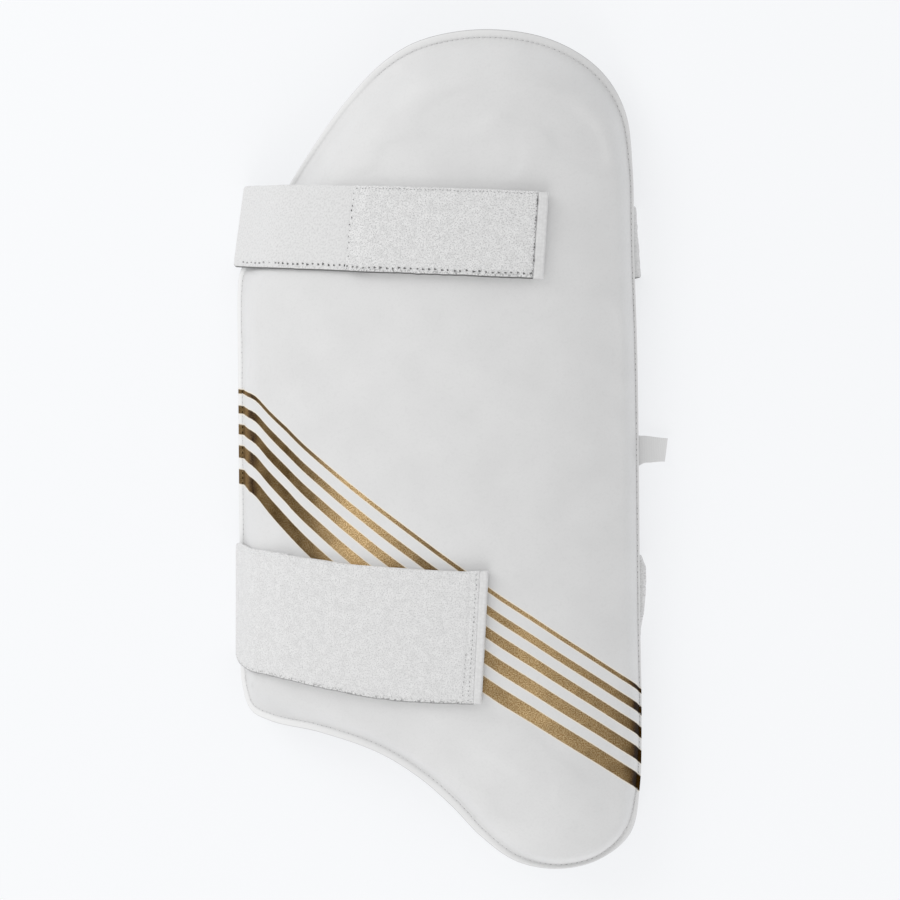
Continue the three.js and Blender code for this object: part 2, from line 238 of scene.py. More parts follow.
def on_arch(flat, height):
    """Places of the flat pattern at heights over the seam surface, in the frame."""
    angle = flat[:, 0] / ARCH_RADIUS
    radius = ARCH_RADIUS + height
    return np.column_stack(
        (arch_x + radius * np.sin(angle), pad_y + flat[:, 1], arch_z + radius * np.cos(angle))
    )


def from_edge(flat):
    """Distance inside the outline, the same smoothed so that it has no ridges, and the shares."""
    a = edge
    b = np.roll(edge, -1, axis=0)
    step = b[:, :2] - a[:, :2]
    length2 = (step**2).sum(1)
    power = 6
    unit = math.sqrt(math.pi) * math.gamma((power - 1) / 2) / math.gamma(power / 2)
    found = []
    for block in range(0, len(flat), 4000):
        p = flat[block : block + 4000, None, :2]
        t = np.clip(((p - a[None, :, :2]) * step).sum(2) / length2, 0, 1)
        away = np.linalg.norm(a[None, :, :2] + t[..., None] * step - p, axis=2)
        near = away.argmin(1)
        rows = np.arange(len(near))
        crossing = (a[None, :, 1] > p[..., 1]) != (b[None, :, 1] > p[..., 1])
        with np.errstate(divide="ignore", invalid="ignore"):
            reach = a[None, :, 0] + (p[..., 1] - a[None, :, 1]) / step[:, 1] * step[:, 0]
        inside = (crossing & (p[..., 0] < reach)).sum(1) % 2 == 1
        distance = np.where(inside, 1, -1) * away[rows, near]
        pull = (np.sqrt(length2) / np.maximum(away, 1.0) ** power).sum(1) / unit
        smooth = pull ** (-1 / (power - 1))
        share = t[rows, near][:, None]
        shares = a[near, 2:] + share * (b[near, 2:] - a[near, 2:])
        found.append(np.column_stack((distance, smooth, shares)))
    return np.vstack(found)


def foam_height(foam, flat):
    """How far a panel's foam side lies from the seam surface, and what from_edge gave."""
    place = from_edge(flat)
    distance, smooth, shoulder_share, rim_share, soft = place.T
    if foam["side"] < 0:
        rim_share, soft = 1.0, 0.5
    rim = RIM_WIDTH * rim_share
    width = foam["shoulder_width"] * shoulder_share * (1 + 0.3 * soft)
    x = np.clip((distance - rim) / width, 0, 1)
    crisp = 1 - (1 - x) ** SHOULDER_POWER
    swell = x * x * (3 - 2 * x)
    shoulder = crisp + soft * 0.6 * (swell - crisp)
    dome = 1 - (1 - np.clip((smooth - rim) / foam["dome_width"], 0, 1)) ** DOME_POWER
    height = GAP / 2 + RIM_PLY + foam["shoulder_rise"] * shoulder + foam["dome_rise"] * dome
    return height, place


def noise_at(points, size, seed):
    """Smooth noise from -1 to 1 at two or three coordinates, size millimetres from lump to lump."""
    flat = np.column_stack((points[:, 0], points[:, 1], np.zeros(len(points)))) / size
    flat[:, 2] = seed
    return np.array([noise.noise(p) for p in flat])


def smoothstep(low, high, x):
    t = np.clip((x - low) / (high - low), 0, 1)
    return t * t * (3 - 2 * t)


# Mesh and node helpers


def make_object(name, points, faces, uvs, material):
    """A smooth mesh object from millimetre points. uvs are per corner, by the map's name."""
    mesh = bpy.data.meshes.new(name)
    mesh.from_pydata((np.asarray(points) * MM).tolist(), [], faces)
    for label, values in uvs.items():
        mesh.uv_layers.new(name=label).data.foreach_set("uv", np.asarray(values).ravel())
    mesh.shade_smooth()
    mesh.materials.append(material)
    mesh.validate()
    made = bpy.data.objects.new(name, mesh)
    bpy.context.scene.collection.objects.link(made)
    return made


def colour(code):
    """A colour's sRGB hex code as linear red, green, blue and alpha."""
    parts = [int(code[i : i + 2], 16) / 255 for i in (1, 3, 5)]
    return [c / 12.92 if c <= 0.04045 else ((c + 0.055) / 1.055) ** 2.4 for c in parts] + [1.0]


def add(tree, kind, inputs=None, **settings):
    """Adds a node with its settings. inputs are links or values, by socket name or number."""
    node = tree.nodes.new(kind)
    for name, value in settings.items():
        setattr(node, name, value)
    for name, value in (inputs or {}).items():
        if isinstance(value, bpy.types.NodeSocket):
            tree.links.new(value, node.inputs[name])
        else:
            node.inputs[name].default_value = value
    return node


# Materials


def shader_of(name, **constants):
    """A new material with its shader. Constants are set on the shader's own sockets."""
    material = bpy.data.materials.new(name)
    material.use_nodes = True
    shader = material.node_tree.nodes["Principled BSDF"]
    for socket, value in constants.items():
        shader.inputs[socket.replace("_", " ")].default_value = value
    return material, material.node_tree, shader


def uv_map(tree, name):
    return add(tree, "ShaderNodeUVMap", uv_map=name).outputs[0]


def maths(tree, operation, *values):
    return add(tree, "ShaderNodeMath", dict(enumerate(values)), operation=operation).outputs[0]


def mix(tree, share, a, b, blend="MIX"):
    inputs = {0: share, 6: a, 7: b}
    return add(tree, "ShaderNodeMix", inputs, data_type="RGBA", blend_type=blend).outputs[2]


def ramp(tree, value, stops):
    """Reads a value through stops of place and grey level."""
    node = add(tree, "ShaderNodeValToRGB", {0: value})
    elements = node.color_ramp.elements
    while len(elements) < len(stops):
        elements.new(0.5)
    for element, (place, level) in zip(elements, stops):
        element.position = place
        element.color = (level, level, level, 1)
    return node.outputs[0]


def bump(tree, height, depth, normal=None):
    """Bumps of a height from 0 to 1, depth millimetres deep."""
    inputs = {"Height": height, "Distance": depth * MM, "Strength": 1.0}
    if normal is not None:
        inputs["Normal"] = normal
    return add(tree, "ShaderNodeBump", inputs).outputs[0]


def rounded_noise(tree, where, size, detail=2.0, roughness=0.5):
    """Noise with lumps of the given size, in the units of where."""
    inputs = {"Vector": where, "Scale": 1 / size, "Detail": detail, "Roughness": roughness}
    return add(tree, "ShaderNodeTexNoise", inputs, noise_dimensions="3D").outputs[0]


def cells(tree, where, size, randomness=1.0, feature="F1"):
    inputs = {"Vector": where, "Scale": 1 / size, "Randomness": randomness}
    return add(tree, "ShaderNodeTexVoronoi", inputs, feature=feature).outputs[0]


STRIPE_SPAN = (30.0, 90.0)  # the part of the print that holds the stripes
# How much painted shade darkens the foil over the pad's width, in place of the dark surroundings it
# would reflect: place in millimetres and share
FOIL_SPAN = 220.0
FOIL_PAINTED_SHADE = [
    (-103.0, 0.7), (-96.0, 0.7), (-90.0, 0.48), (-86.0, 0.55), (-80.0, 0.84), (-73.0, 0.7),
    (-57.0, 0.76), (-44.0, 0.64), (-28.0, 0.05), (-22.0, 0.0), (-7.0, 0.3), (7.0, 0.62),
    (20.0, 0.55), (35.0, 0.4), (50.0, 0.2), (64.0, 0.33), (78.0, 0.45), (88.0, 0.54), (94.0, 0.82),
    (98.0, 1.0), (104.0, 0.96),
]
# How much painted light lightens the rim: place in millimetres and share
RIDGE_WIDTH = 0.5  # of the foil's bright ridges
WALE_PITCH = 1.5  # of the knitted back, across its columns of loops
COURSE_PITCH = 1.2  # of the same along them
RIM_PAINTED_LIGHT = [
    (-103.0, 1.0), (-60.0, 0.85), (-25.0, 0.5), (30.0, 0.6), (52.0, 0.3), (66.0, 0.15), (86.0, 0.0),
    (94.0, 0.5), (103.0, 0.6),
]


def stripe_stops(low, high, wider, soft):
    """Stops of a ramp that is on inside the stripes, wider at both sides, with soft edges."""
    stops = [(0.0, 0.0)]
    for first, last in STRIPES:
        for at, before, after in ((first - wider, 0.0, 1.0), (last + wider, 1.0, 0.0)):
            for place, share in ((at - soft, before), (at + soft, after)):
                stops.append(((place - low) / (high - low), share))
    return stops


def face_leather():
    """White polyurethane-coated leather, embossed with a fine grain, with gold foil stripes.

    The coat is smooth and half matt, so it shades softly and the grain only shows up close. The
    The foil is thin metal that took the grain; its darkening where it turns away from the light is
    painted shade.
    """
    material, tree, shader = shader_of("coated_leather_gold_foil", Specular_IOR_Level=0.45)
    flat = uv_map(tree, "flat")
    printed = add(tree, "ShaderNodeSeparateXYZ", {0: uv_map(tree, "print")}).outputs
    rim = add(tree, "ShaderNodeSeparateXYZ", {0: uv_map(tree, "rim")}).outputs

    # Foil edges waver by a few hundredths of a millimetre over each millimetre.
    waver = maths(tree, "MULTIPLY_ADD", rounded_noise(tree, flat, 1.2), 0.3, -0.15)
    place = maths(tree, "ADD", printed[1], waver)
    low, high = STRIPE_SPAN
    place = maths(tree, "DIVIDE", maths(tree, "SUBTRACT", place, low), high - low)
    foil = ramp(tree, place, stripe_stops(low, high, 0, 0.1))
    # The hot stamp leaves a fine bright ridge along each stripe's edges.
    ridged = ramp(tree, place, stripe_stops(low, high, RIDGE_WIDTH, 0.15))
    ridge = maths(tree, "SUBTRACT", ridged, foil)

    grain = cells(tree, flat, 0.9)
    grain_fine = rounded_noise(tree, flat, 0.55, 3.0, 0.6)
    mottle = rounded_noise(tree, flat, 22.0, 3.0, 0.5)
    white = mix(
        tree, ramp(tree, mottle, [(0.3, 0), (0.7, 1)]), colour("#e4e4e4"), colour("#dfdfdf")
    )
    white = mix(tree, ramp(tree, grain, [(0.5, 0), (1.0, 0.16)]), white, colour("#cfcfcf"))
    # Painted shade darkens the needle line a little, where the seam crease lies.
    line = maths(tree, "ABSOLUTE", maths(tree, "SUBTRACT", rim[1], TOPSTITCH_LINE))
    painted_crease_shade = maths(tree, "MULTIPLY", ramp(tree, line, [(0.0, 1), (0.22, 0)]), 0.3)
    white = mix(tree, painted_crease_shade, white, colour("#cacaca"))
    # The turned rim outside it is lightened with painted light, most of all at the left.
    across = maths(tree, "MULTIPLY_ADD", printed[0], 1 / FOIL_SPAN, 0.5)
    painted_rim_light = ramp(tree, across, [(u / FOIL_SPAN + 0.5, share) for u, share in RIM_PAINTED_LIGHT])
    painted_rim_light = maths(tree, "MULTIPLY", ramp(tree, rim[1], [(0.55, 1), (0.85, 0)]), painted_rim_light)
    white = mix(tree, painted_rim_light, white, colour("#f0f0f0"))
    white = mix(tree, ramp(tree, rim[1], [(0.03, 0.75), (0.1, 0)]), white, colour("#9c9c9c"))
    white = mix(tree, ridge, white, colour("#f3ead9"))
    # The foil's grain sparkles, and painted shade darkens it over the pad's width, most where the
    # pad bends most.
    sparkle = ramp(tree, rounded_noise(tree, flat, 0.5, 2.0, 0.6), [(0.36, 0), (0.64, 1)])
    gold = mix(tree, sparkle, colour("#ab8049"), colour("#ffe4b2"))
    painted_foil_shade = ramp(tree, across, [(u / FOIL_SPAN + 0.5, share) for u, share in FOIL_PAINTED_SHADE])
    broad = ramp(tree, rounded_noise(tree, flat, 6.0, 2.0), [(0.3, -0.1), (0.7, 0.15)])
    gold = mix(tree, maths(tree, "ADD", painted_foil_shade, broad), gold, colour("#3a2608"))
    # It sinks into the needle holes, and their shade is painted on it there.
    pucker = maths(tree, "SINE", maths(tree, "MULTIPLY", rim[0], 2 * math.pi / TOPSTITCH_PITCH))
    holes = ramp(tree, pucker, [(0.0, 0), (0.5, 1)])
    painted_foil_hole_shade = maths(tree, "MULTIPLY", ramp(tree, line, [(0.06, 1), (0.13, 0)]), holes)
    gold = mix(tree, painted_foil_hole_shade, gold, colour("#2a1c08"))
    tree.links.new(mix(tree, foil, white, gold), shader.inputs["Base Color"])
    metal = maths(tree, "MULTIPLY_ADD", painted_foil_shade, -0.15, 0.92)
    tree.links.new(maths(tree, "MULTIPLY", foil, metal), shader.inputs["Metallic"])
    # The foil keeps its colour where it is seen at a slant.
    tree.links.new(mix(tree, foil, colour("#ffffff"), gold), shader.inputs["Specular Tint"])
    roughness = maths(tree, "MULTIPLY_ADD", grain_fine, 0.12, 0.42)
    tree.links.new(roughness, shader.inputs["Roughness"])

    # The lock stitch pulls the coat down every pitch, and it puckers between the stitches.
    pucker = maths(tree, "MULTIPLY", pucker, ramp(tree, line, [(0.0, 1), (0.45, 0)]))
    normal = bump(tree, pucker, 0.05)
    normal = bump(tree, grain, 0.012, normal)
    relief = maths(tree, "MULTIPLY", grain_fine, maths(tree, "MULTIPLY_ADD", foil, 0.8, 0.2))
    tree.links.new(bump(tree, relief, 0.06, normal), shader.inputs["Normal"])
    return material


def back_cloth():
    """White brushed warp-knit polyester, the cloth side of a laminated foam.

    Columns of small loops run along the pad. Drawn at 1.5 mm a column, coarser than the real
    knit, so that they show.
    """
    material, tree, shader = shader_of("brushed_tricot_cloth", Roughness=0.95, Sheen_Weight=0.25)
    shader.inputs["Sheen Roughness"].default_value = 0.5
    flat = uv_map(tree, "flat")
    part = add(tree, "ShaderNodeSeparateXYZ", {0: flat}).outputs
    column = maths(tree, "SINE", maths(tree, "MULTIPLY", part[0], 2 * math.pi / WALE_PITCH))
    slant = maths(tree, "ABSOLUTE", column)
    row = maths(tree, "MULTIPLY", part[1], 2 * math.pi / COURSE_PITCH)
    loops = maths(tree, "SINE", maths(tree, "ADD", row, slant))
    knit = maths(tree, "MULTIPLY_ADD", maths(tree, "MULTIPLY", loops, slant), 0.5, 0.5)
    fuzz = rounded_noise(tree, flat, 0.6, 3.0, 0.7)
    mottle = rounded_noise(tree, flat, 18.0, 2.0)
    base = mix(tree, knit, colour("#bbbbbb"), colour("#dddddd"))
    base = mix(tree, maths(tree, "MULTIPLY", mottle, 0.25), base, colour("#cecece"))
    tree.links.new(base, shader.inputs["Base Color"])
    normal = bump(tree, knit, 0.18)
    tree.links.new(bump(tree, fuzz, 0.12, normal), shader.inputs["Normal"])
    return material


def edge_shade(tree, base, line, specks):
    """Darkens a band's lower edge, where it lies on the pad: a painted shadow line by the share
    line, and ragged dark specks by the share specks.
    """
    low = add(tree, "ShaderNodeSeparateXYZ", {0: uv_map(tree, "edge")}).outputs[0]
    low = maths(tree, "MULTIPLY", low, 0.25)
    ragged = ramp(tree, rounded_noise(tree, uv_map(tree, "flat"), 1.2, 3.0), [(0.5, 0), (0.6, 1)])
    ragged = maths(tree, "MULTIPLY", ragged, ramp(tree, low, [(0.1, specks), (0.65, 0)]))
    # A painted shadow line right at the lower edge.
    crisp = ramp(tree, low, [(0.1, line), (0.2, 0)])
    return mix(tree, maths(tree, "MAXIMUM", ragged, crisp), base, colour("#4a4a4a"))


def elastic_weave():
    """White woven elastic: rubber cores wrapped in polyester yarn, ribs running along the strap.

    Ribs are 1.1 mm apart and the weft crosses them every 1 mm, in alternate rows.
    """
    material, tree, shader = shader_of("woven_elastic", Roughness=0.85, Sheen_Weight=0.15)
    flat = uv_map(tree, "flat")
    part = add(tree, "ShaderNodeSeparateXYZ", {0: flat}).outputs
    ribs = maths(tree, "SINE", maths(tree, "MULTIPLY", part[1], math.pi / 1.1))
    picks = maths(tree, "SINE", maths(tree, "MULTIPLY", part[0], math.pi / 1.0))
    weave = maths(tree, "MULTIPLY_ADD", maths(tree, "MULTIPLY", ribs, picks), 0.5, 0.5)
    yarn = rounded_noise(tree, flat, 0.95, 3.0, 0.7)
    fuzz = rounded_noise(tree, flat, 2.0, 4.0, 0.75)
    mottle = rounded_noise(tree, flat, 9.0, 3.0)
    base = mix(tree, maths(tree, "MULTIPLY", weave, 0.3), colour("#e7e7e7"), colour("#dcdcdc"))
    base = mix(tree, ramp(tree, yarn, [(0.36, 0.6), (0.52, 0)]), base, colour("#c8c8c8"))
    base = mix(tree, ramp(tree, fuzz, [(0.35, 0.3), (0.5, 0)]), base, colour("#c8c8c8"))
    base = mix(tree, maths(tree, "MULTIPLY", mottle, 0.3), base, colour("#dddddd"))
    tree.links.new(edge_shade(tree, base, 0.95, 0.3), shader.inputs["Base Color"])
    normal = bump(tree, weave, 0.02)
    tree.links.new(bump(tree, yarn, 0.16, normal), shader.inputs["Normal"])
    return material


def pile_tape(name, tips, pits, depth, edge_line):
    """White brushed loop pile of a touch fastener: a mat of fine nylon loops.

    The tufts are about 1 mm, with small shadows between them.
    """
    material, tree, shader = shader_of(name, Roughness=1.0, Sheen_Weight=0.2)
    shader.inputs["Sheen Roughness"].default_value = 0.6
    flat = uv_map(tree, "flat")
    tufts = rounded_noise(tree, flat, 0.62, 4.0, 0.7)
    loops = cells(tree, flat, 0.8)
    drift = rounded_noise(tree, flat, 4.0, 3.0, 0.6)
    base = mix(tree, ramp(tree, tufts, [(0.36, 0.9), (0.5, 0)]), colour(tips), colour(pits))
    base = mix(tree, ramp(tree, loops, [(0.5, 0), (0.9, 0.3)]), base, colour(pits))
    base = mix(tree, ramp(tree, drift, [(0.35, 0.3), (0.6, 0)]), base, colour("#cfcfcf"))
    tree.links.new(edge_shade(tree, base, edge_line, 0.75), shader.inputs["Base Color"])
    normal = bump(tree, tufts, depth)
    tree.links.new(bump(tree, loops, -0.06, normal), shader.inputs["Normal"])
    return material


def hook_tape():
    """White hook tape: rows of small bent nylon hooks on a tight woven ground.

    Rows are 1.5 mm apart. The bare selvedge at the free end is smooth.
    """
    material, tree, shader = shader_of("nylon_hook_tape", Roughness=0.6)
    flat = uv_map(tree, "flat")
    hooks = cells(tree, flat, 1.5, 0.6)
    ground = rounded_noise(tree, flat, 0.6, 2.0)
    base = mix(tree, ramp(tree, hooks, [(0.2, 0), (0.7, 1)]), colour("#e6e6e6"), colour("#dedede"))
    tree.links.new(base, shader.inputs["Base Color"])
    normal = bump(tree, hooks, -0.05)
    tree.links.new(bump(tree, ground, 0.04, normal), shader.inputs["Normal"])
    return material


def label_satin():
    """White polyester satin ribbon: long floats give it a soft shine across the ribs."""
    material, tree, shader = shader_of("satin_ribbon", Roughness=0.45, Sheen_Weight=0.2)
    flat = uv_map(tree, "flat")
    part = add(tree, "ShaderNodeSeparateXYZ", {0: flat}).outputs
    ribs = maths(tree, "SINE", maths(tree, "MULTIPLY", part[0], 2 * math.pi / 0.8))
    ribs = maths(tree, "MULTIPLY_ADD", ribs, 0.5, 0.5)
    slubs = rounded_noise(tree, flat, 2.0, 2.0)
    base = mix(tree, ribs, colour("#e4e4e4"), colour("#e9e9e9"))
    base = mix(tree, maths(tree, "MULTIPLY", slubs, 0.2), base, colour("#d8d8d8"))
    tree.links.new(base, shader.inputs["Base Color"])
    tree.links.new(bump(tree, ribs, 0.012), shader.inputs["Normal"])
    return material


def sewing_thread():
    """White bonded polyester thread, three strands twisted: the twist shows as slanted lines."""
    material, tree, shader = shader_of("bonded_polyester_thread", Roughness=0.6, Sheen_Weight=0.2)
    place = add(tree, "ShaderNodeTexCoord").outputs["Object"]
    inputs = {"Vector": place, "Scale": 1 / (0.4 * MM), "Distortion": 1.0}
    twist = add(tree, "ShaderNodeTexWave", inputs, bands_direction="DIAGONAL").outputs[1]
    base = mix(tree, twist, colour("#d4d4d4"), colour("#efefef"))
    tree.links.new(base, shader.inputs["Base Color"])
    tree.links.new(bump(tree, twist, 0.05), shader.inputs["Normal"])
    return material


def hole_shade(name, dark, light):
    """Painted shade for the bottom of a small hole: grey foam or the underside of a cloth, in
    shade.
    """
    material, tree, shader = shader_of(name, Roughness=0.9)
    place = add(tree, "ShaderNodeTexCoord").outputs["Object"]
    lint = rounded_noise(tree, place, 0.5 * MM, 2.0)
    base = mix(tree, lint, colour(dark), colour(light))
    tree.links.new(base, shader.inputs["Base Color"])
    tree.links.new(bump(tree, lint, 0.05), shader.inputs["Normal"])
    return material


leather = face_leather()
cloth = back_cloth()
elastic = elastic_weave()
pile = pile_tape("nylon_loop_pile", "#f3f3f3", "#b2b2b2", 0.34, 0.95)
brushed_pile = pile_tape("brushed_nylon_loop_pile", "#ededed", "#c2c2c2", 0.22, 0.65)
hooks = hook_tape()
satin = label_satin()
thread = sewing_thread()
# Dark materials with the shade of holes and gaps painted in.
hole_painted_shade = hole_shade("needle_hole_painted_shade", "#969696", "#bcbcbc")
gap_painted_shade = hole_shade("stitch_gap_painted_shade", "#4c4c4c", "#808080")
soft_gap_painted_shade = hole_shade("soft_stitch_gap_painted_shade", "#7a7a7a", "#a0a0a0")


# The two sewn panels

columns, rim_along = resample(edge, EDGE_STEP, closed=True)
rim_length = rim_along[-1] + rim_along[1]
ahead = np.roll(columns[:, :2], -1, axis=0) - np.roll(columns[:, :2], 1, axis=0)
inward = np.column_stack((ahead[:, 1], -ahead[:, 0])) / np.linalg.norm(ahead, axis=1)[:, None]
column_tree = kdtree.KDTree(len(columns))
for number, place in enumerate(columns):
    column_tree.insert((place[0], place[1], 0), number)
column_tree.balance()


def grid_inside(step, clearance, shares_of_rim=1.0):
    """A triangular grid of flat places, at least the clearance inside the rim's inner line."""
    low, high = edge[:, :2].min(0), edge[:, :2].max(0)
    rows = []
    for k, v in enumerate(np.arange(low[1], high[1], step * math.sqrt(0.75))):
        u = np.arange(low[0] + (k % 2) * step / 2, high[0], step)
        rows.append(np.column_stack((u, np.full(len(u), v))))
    grid = np.vstack(rows)
    place = from_edge(grid)
    return grid[place[:, 0] > RIM_WIDTH * place[:, 3] * shares_of_rim + clearance]


def triangulate(points, rim_count):
    """Triangles over flat points whose first rim_count are the outline, facing up."""
    flat = [Vector(p) for p in points[:, :2].tolist()]
    result = geometry.delaunay_2d_cdt(flat, [], [list(range(rim_count - 1, -1, -1))], 1, 1e-5, True)
    back_to = [ids[0] for ids in result[3]]
    faces = np.array([[back_to[i] for i in face] for face in result[2]])
    a, b, c = (points[faces[:, k], :2] for k in range(3))
    turn = (b[:, 0] - a[:, 0]) * (c[:, 1] - a[:, 1]) - (b[:, 1] - a[:, 1]) * (c[:, 0] - a[:, 0])
    faces[turn < 0] = faces[turn < 0][:, ::-1]
    faces = faces[np.abs(turn) > 1e-7]
    # Where the outline bends inward, the triangles outside it have corners on the rim alone.
    middle = points[faces, :2].mean(1)
    outside = np.zeros(len(faces), bool)
    on_rim = np.flatnonzero((faces < rim_count).all(1))
    outside[on_rim] = from_edge(middle[on_rim])[:, 0] < 0
    return faces[~outside]


def panel_points(fine):
    """The outline, the rings beside it and a grid inside them, as flat places."""
    rings = [columns[:, :2]]
    rim = RIM_WIDTH * columns[:, 3]
    if fine:
        insets = [np.full(len(columns), d) for d in (0.1, PLY_ROUNDING)]
        insets += [rim * share for share in (0.3, 0.5, 0.68, TOPSTITCH_LINE, 0.88, 1.0)]
        insets += [rim + d for d in (0.25, 0.6, 1.1, 1.8, 2.8, 4.0, 5.4)]
    else:
        insets = [np.full(len(columns), 0.3)]
    for inset in insets:
        ring = columns[:, :2] + inward * inset[:, None]
        rings.append(ring[from_edge(ring)[:, 0] > inset - 0.03])
    rings.append(grid_inside(GRID_STEP, 6.4) if fine else grid_inside(UNDERSIDE_STEP, 3.0, 0.0))
    return np.vstack(rings)


def rim_place(flat):
    """Length along the rim of the column nearest each flat place."""
    along = np.empty(len(flat))
    for i, (u, v) in enumerate(flat[:, :2]):
        found = column_tree.find((u, v, 0))[1]
        step = ahead[found] / np.linalg.norm(ahead[found])
        along[i] = rim_along[found] + (flat[i, :2] - columns[found, :2]) @ step
    return along


def simulated_swell(foam):
    """How the panel's cloth settles over its foam when air pushes it out from a pinned rim.

    Returns the low-resolution sheet's flat places and how far each settles, in millimetres.
    """
    rim, _ = resample(edge, CLOTH_STEP, closed=True)
    flat = np.vstack((rim[:, :2], grid_inside(CLOTH_STEP, 1.0)))
    height, place = foam_height(foam, flat)
    side = foam["side"]
    faces = triangulate(flat, len(rim))
    start = on_arch(flat, side * height)
    sheet = make_object("cloth_sheet", start, faces[:, ::side].tolist(), {}, leather)
    pinned = sheet.vertex_groups.new(name="rim")
    pinned.add([int(i) for i in np.flatnonzero(place[:, 0] < RIM_WIDTH)], 1.0, "REPLACE")
    modifier = sheet.modifiers.new("settle", "CLOTH")
    settings = modifier.settings
    settings.quality = 6
    settings.mass = 0.3
    settings.air_damping = 2.0
    settings.tension_stiffness = settings.compression_stiffness = 20
    settings.shear_stiffness = 8
    settings.bending_stiffness = 0.4
    settings.shrink_min = -0.015
    settings.use_pressure = True
    settings.uniform_pressure_force = 2.0
    settings.vertex_group_mass = "rim"
    settings.effector_weights.gravity = 0
    modifier.collision_settings.use_collision = False
    scene = bpy.context.scene
    for step in range(1, 21):
        scene.frame_set(step)
    evaluated = sheet.evaluated_get(bpy.context.evaluated_depsgraph_get())
    after = np.array([v.co for v in evaluated.data.vertices]) / MM
    scene.frame_set(1)
    centre = np.array([arch_x, 0, arch_z])
    radius = [np.linalg.norm((p - centre)[:, [0, 2]], axis=1) for p in (start, after)]
    moved = side * (radius[1] - radius[0])
    bpy.data.objects.remove(sheet)
    return flat, moved


def settled(foam, flat, cap):
    """The folds of the settled cloth at flat places: its settling less its broad swell, eased
    so that no fold is higher or deeper than the cap."""
    sheet, moved = simulated_swell(foam)
    tree = kdtree.KDTree(len(sheet))
    for i, (u, v) in enumerate(sheet):
        tree.insert((u, v, 0), i)
    tree.balance()

    def averaged(places, values, count, reach):
        out = np.empty(len(places))
        for i, (u, v) in enumerate(places):
            found = tree.find_n((u, v, 0), count)
            near = np.array([entry[1] for entry in found])
            weights = np.exp(-((np.array([entry[2] for entry in found]) / reach) ** 2))
            out[i] = weights @ values[near] / weights.sum()
        return out

    folds = moved - averaged(sheet, moved, 60, BROAD_SWELL)
    folds = averaged(flat[:, :2], folds, 10, FOLD_SOFTENING)
    return cap * np.tanh(folds / cap)


def strap_aside(strap, flat):
    """How far flat places lie to the side of a strap's middle line, seen from above."""
    x = ARCH_RADIUS * np.sin(flat[:, 0] / ARCH_RADIUS)
    y = flat[:, 1] - strap["along"] * half_length
    turn = math.radians(strap["tilt"])
    return y * math.cos(turn) - x * math.sin(turn)


def under_straps(flat):
    """1 under the straps, falling to 0 within 10 mm beside them."""
    share = np.zeros(len(flat))
    for strap in (TOP_STRAP, BOTTOM_STRAP):
        beside = np.abs(strap_aside(strap, flat)) - strap["width"] / 2
        share = np.maximum(share, 1 - smoothstep(0, 10, beside))
    return share


def upper_left(flat):
    """1 along the slanted upper left side, where the seam lies slack, and 0 elsewhere."""
    return smoothstep(-18, -28, flat[:, 0]) * smoothstep(78, 92, flat[:, 1])


def panel_surface(foam, flat):
    """Height of a panel's foam side with its seam and its unevenness, and the rim coordinates."""
    height, place = foam_height(foam, flat)
    distance = place[:, 0]
    rim = RIM_WIDTH * (place[:, 3] if foam["side"] > 0 else 1.0)
    share = distance / rim
    along = rim_place(flat)
    corner = PLY_ROUNDING - np.clip(distance, 0, PLY_ROUNDING)
    height = height - PLY_ROUNDING + np.sqrt(PLY_ROUNDING**2 - corner**2)
    # The seam is pulled down, and the ply swells between it and the cut edge.
    crease = (0.2 + 0.45 * np.clip(1 - place[:, 4] / 0.1, 0, 1)) * np.clip(rim / 3, 0.3, 1)
    crease *= 1 - 0.9 * upper_left(flat)
    height -= crease * np.exp(-(((share - TOPSTITCH_LINE) * rim / 0.6) ** 2))
    height += 0.12 * np.sin(math.pi * np.clip(share / TOPSTITCH_LINE, 0, 1))
    free = 1 - under_straps(flat) if foam["side"] > 0 else np.ones(len(flat))
    inner = smoothstep(2, 16, distance - rim)
    height += free * inner * (0.35 * noise_at(flat, 38.0, 3.1) + 0.16 * noise_at(flat, 15.0, 7.7))
    # Short pulls run in from the stitches, stronger here and there.
    rim_flat = np.column_stack((along, distance * 0.35))
    pulls = noise_at(rim_flat, 5.5, 11.3) * (0.35 + 0.65 * np.abs(noise_at(rim_flat, 45.0, 2.9)))
    beside_seam = np.exp(-(((distance - rim - 2.5) / 4.0) ** 2))
    puckered = 1 + 1.3 * np.exp(-(((flat[:, 0] + 42) / 22) ** 2)) * smoothstep(110, 140, flat[:, 1])
    height += 0.34 * puckered * pulls * beside_seam * (0.3 + 0.7 * free)
    return height, place, along, share, free


def stripe_place(flat):
    """Where places on the flat pad lie across the set of stripes."""
    middle, shift, width = np.array(STRIPE_RUN).T
    line = np.interp(flat[:, 0], middle, shift) - flat[:, 1]
    return line / np.interp(flat[:, 0], middle, width)


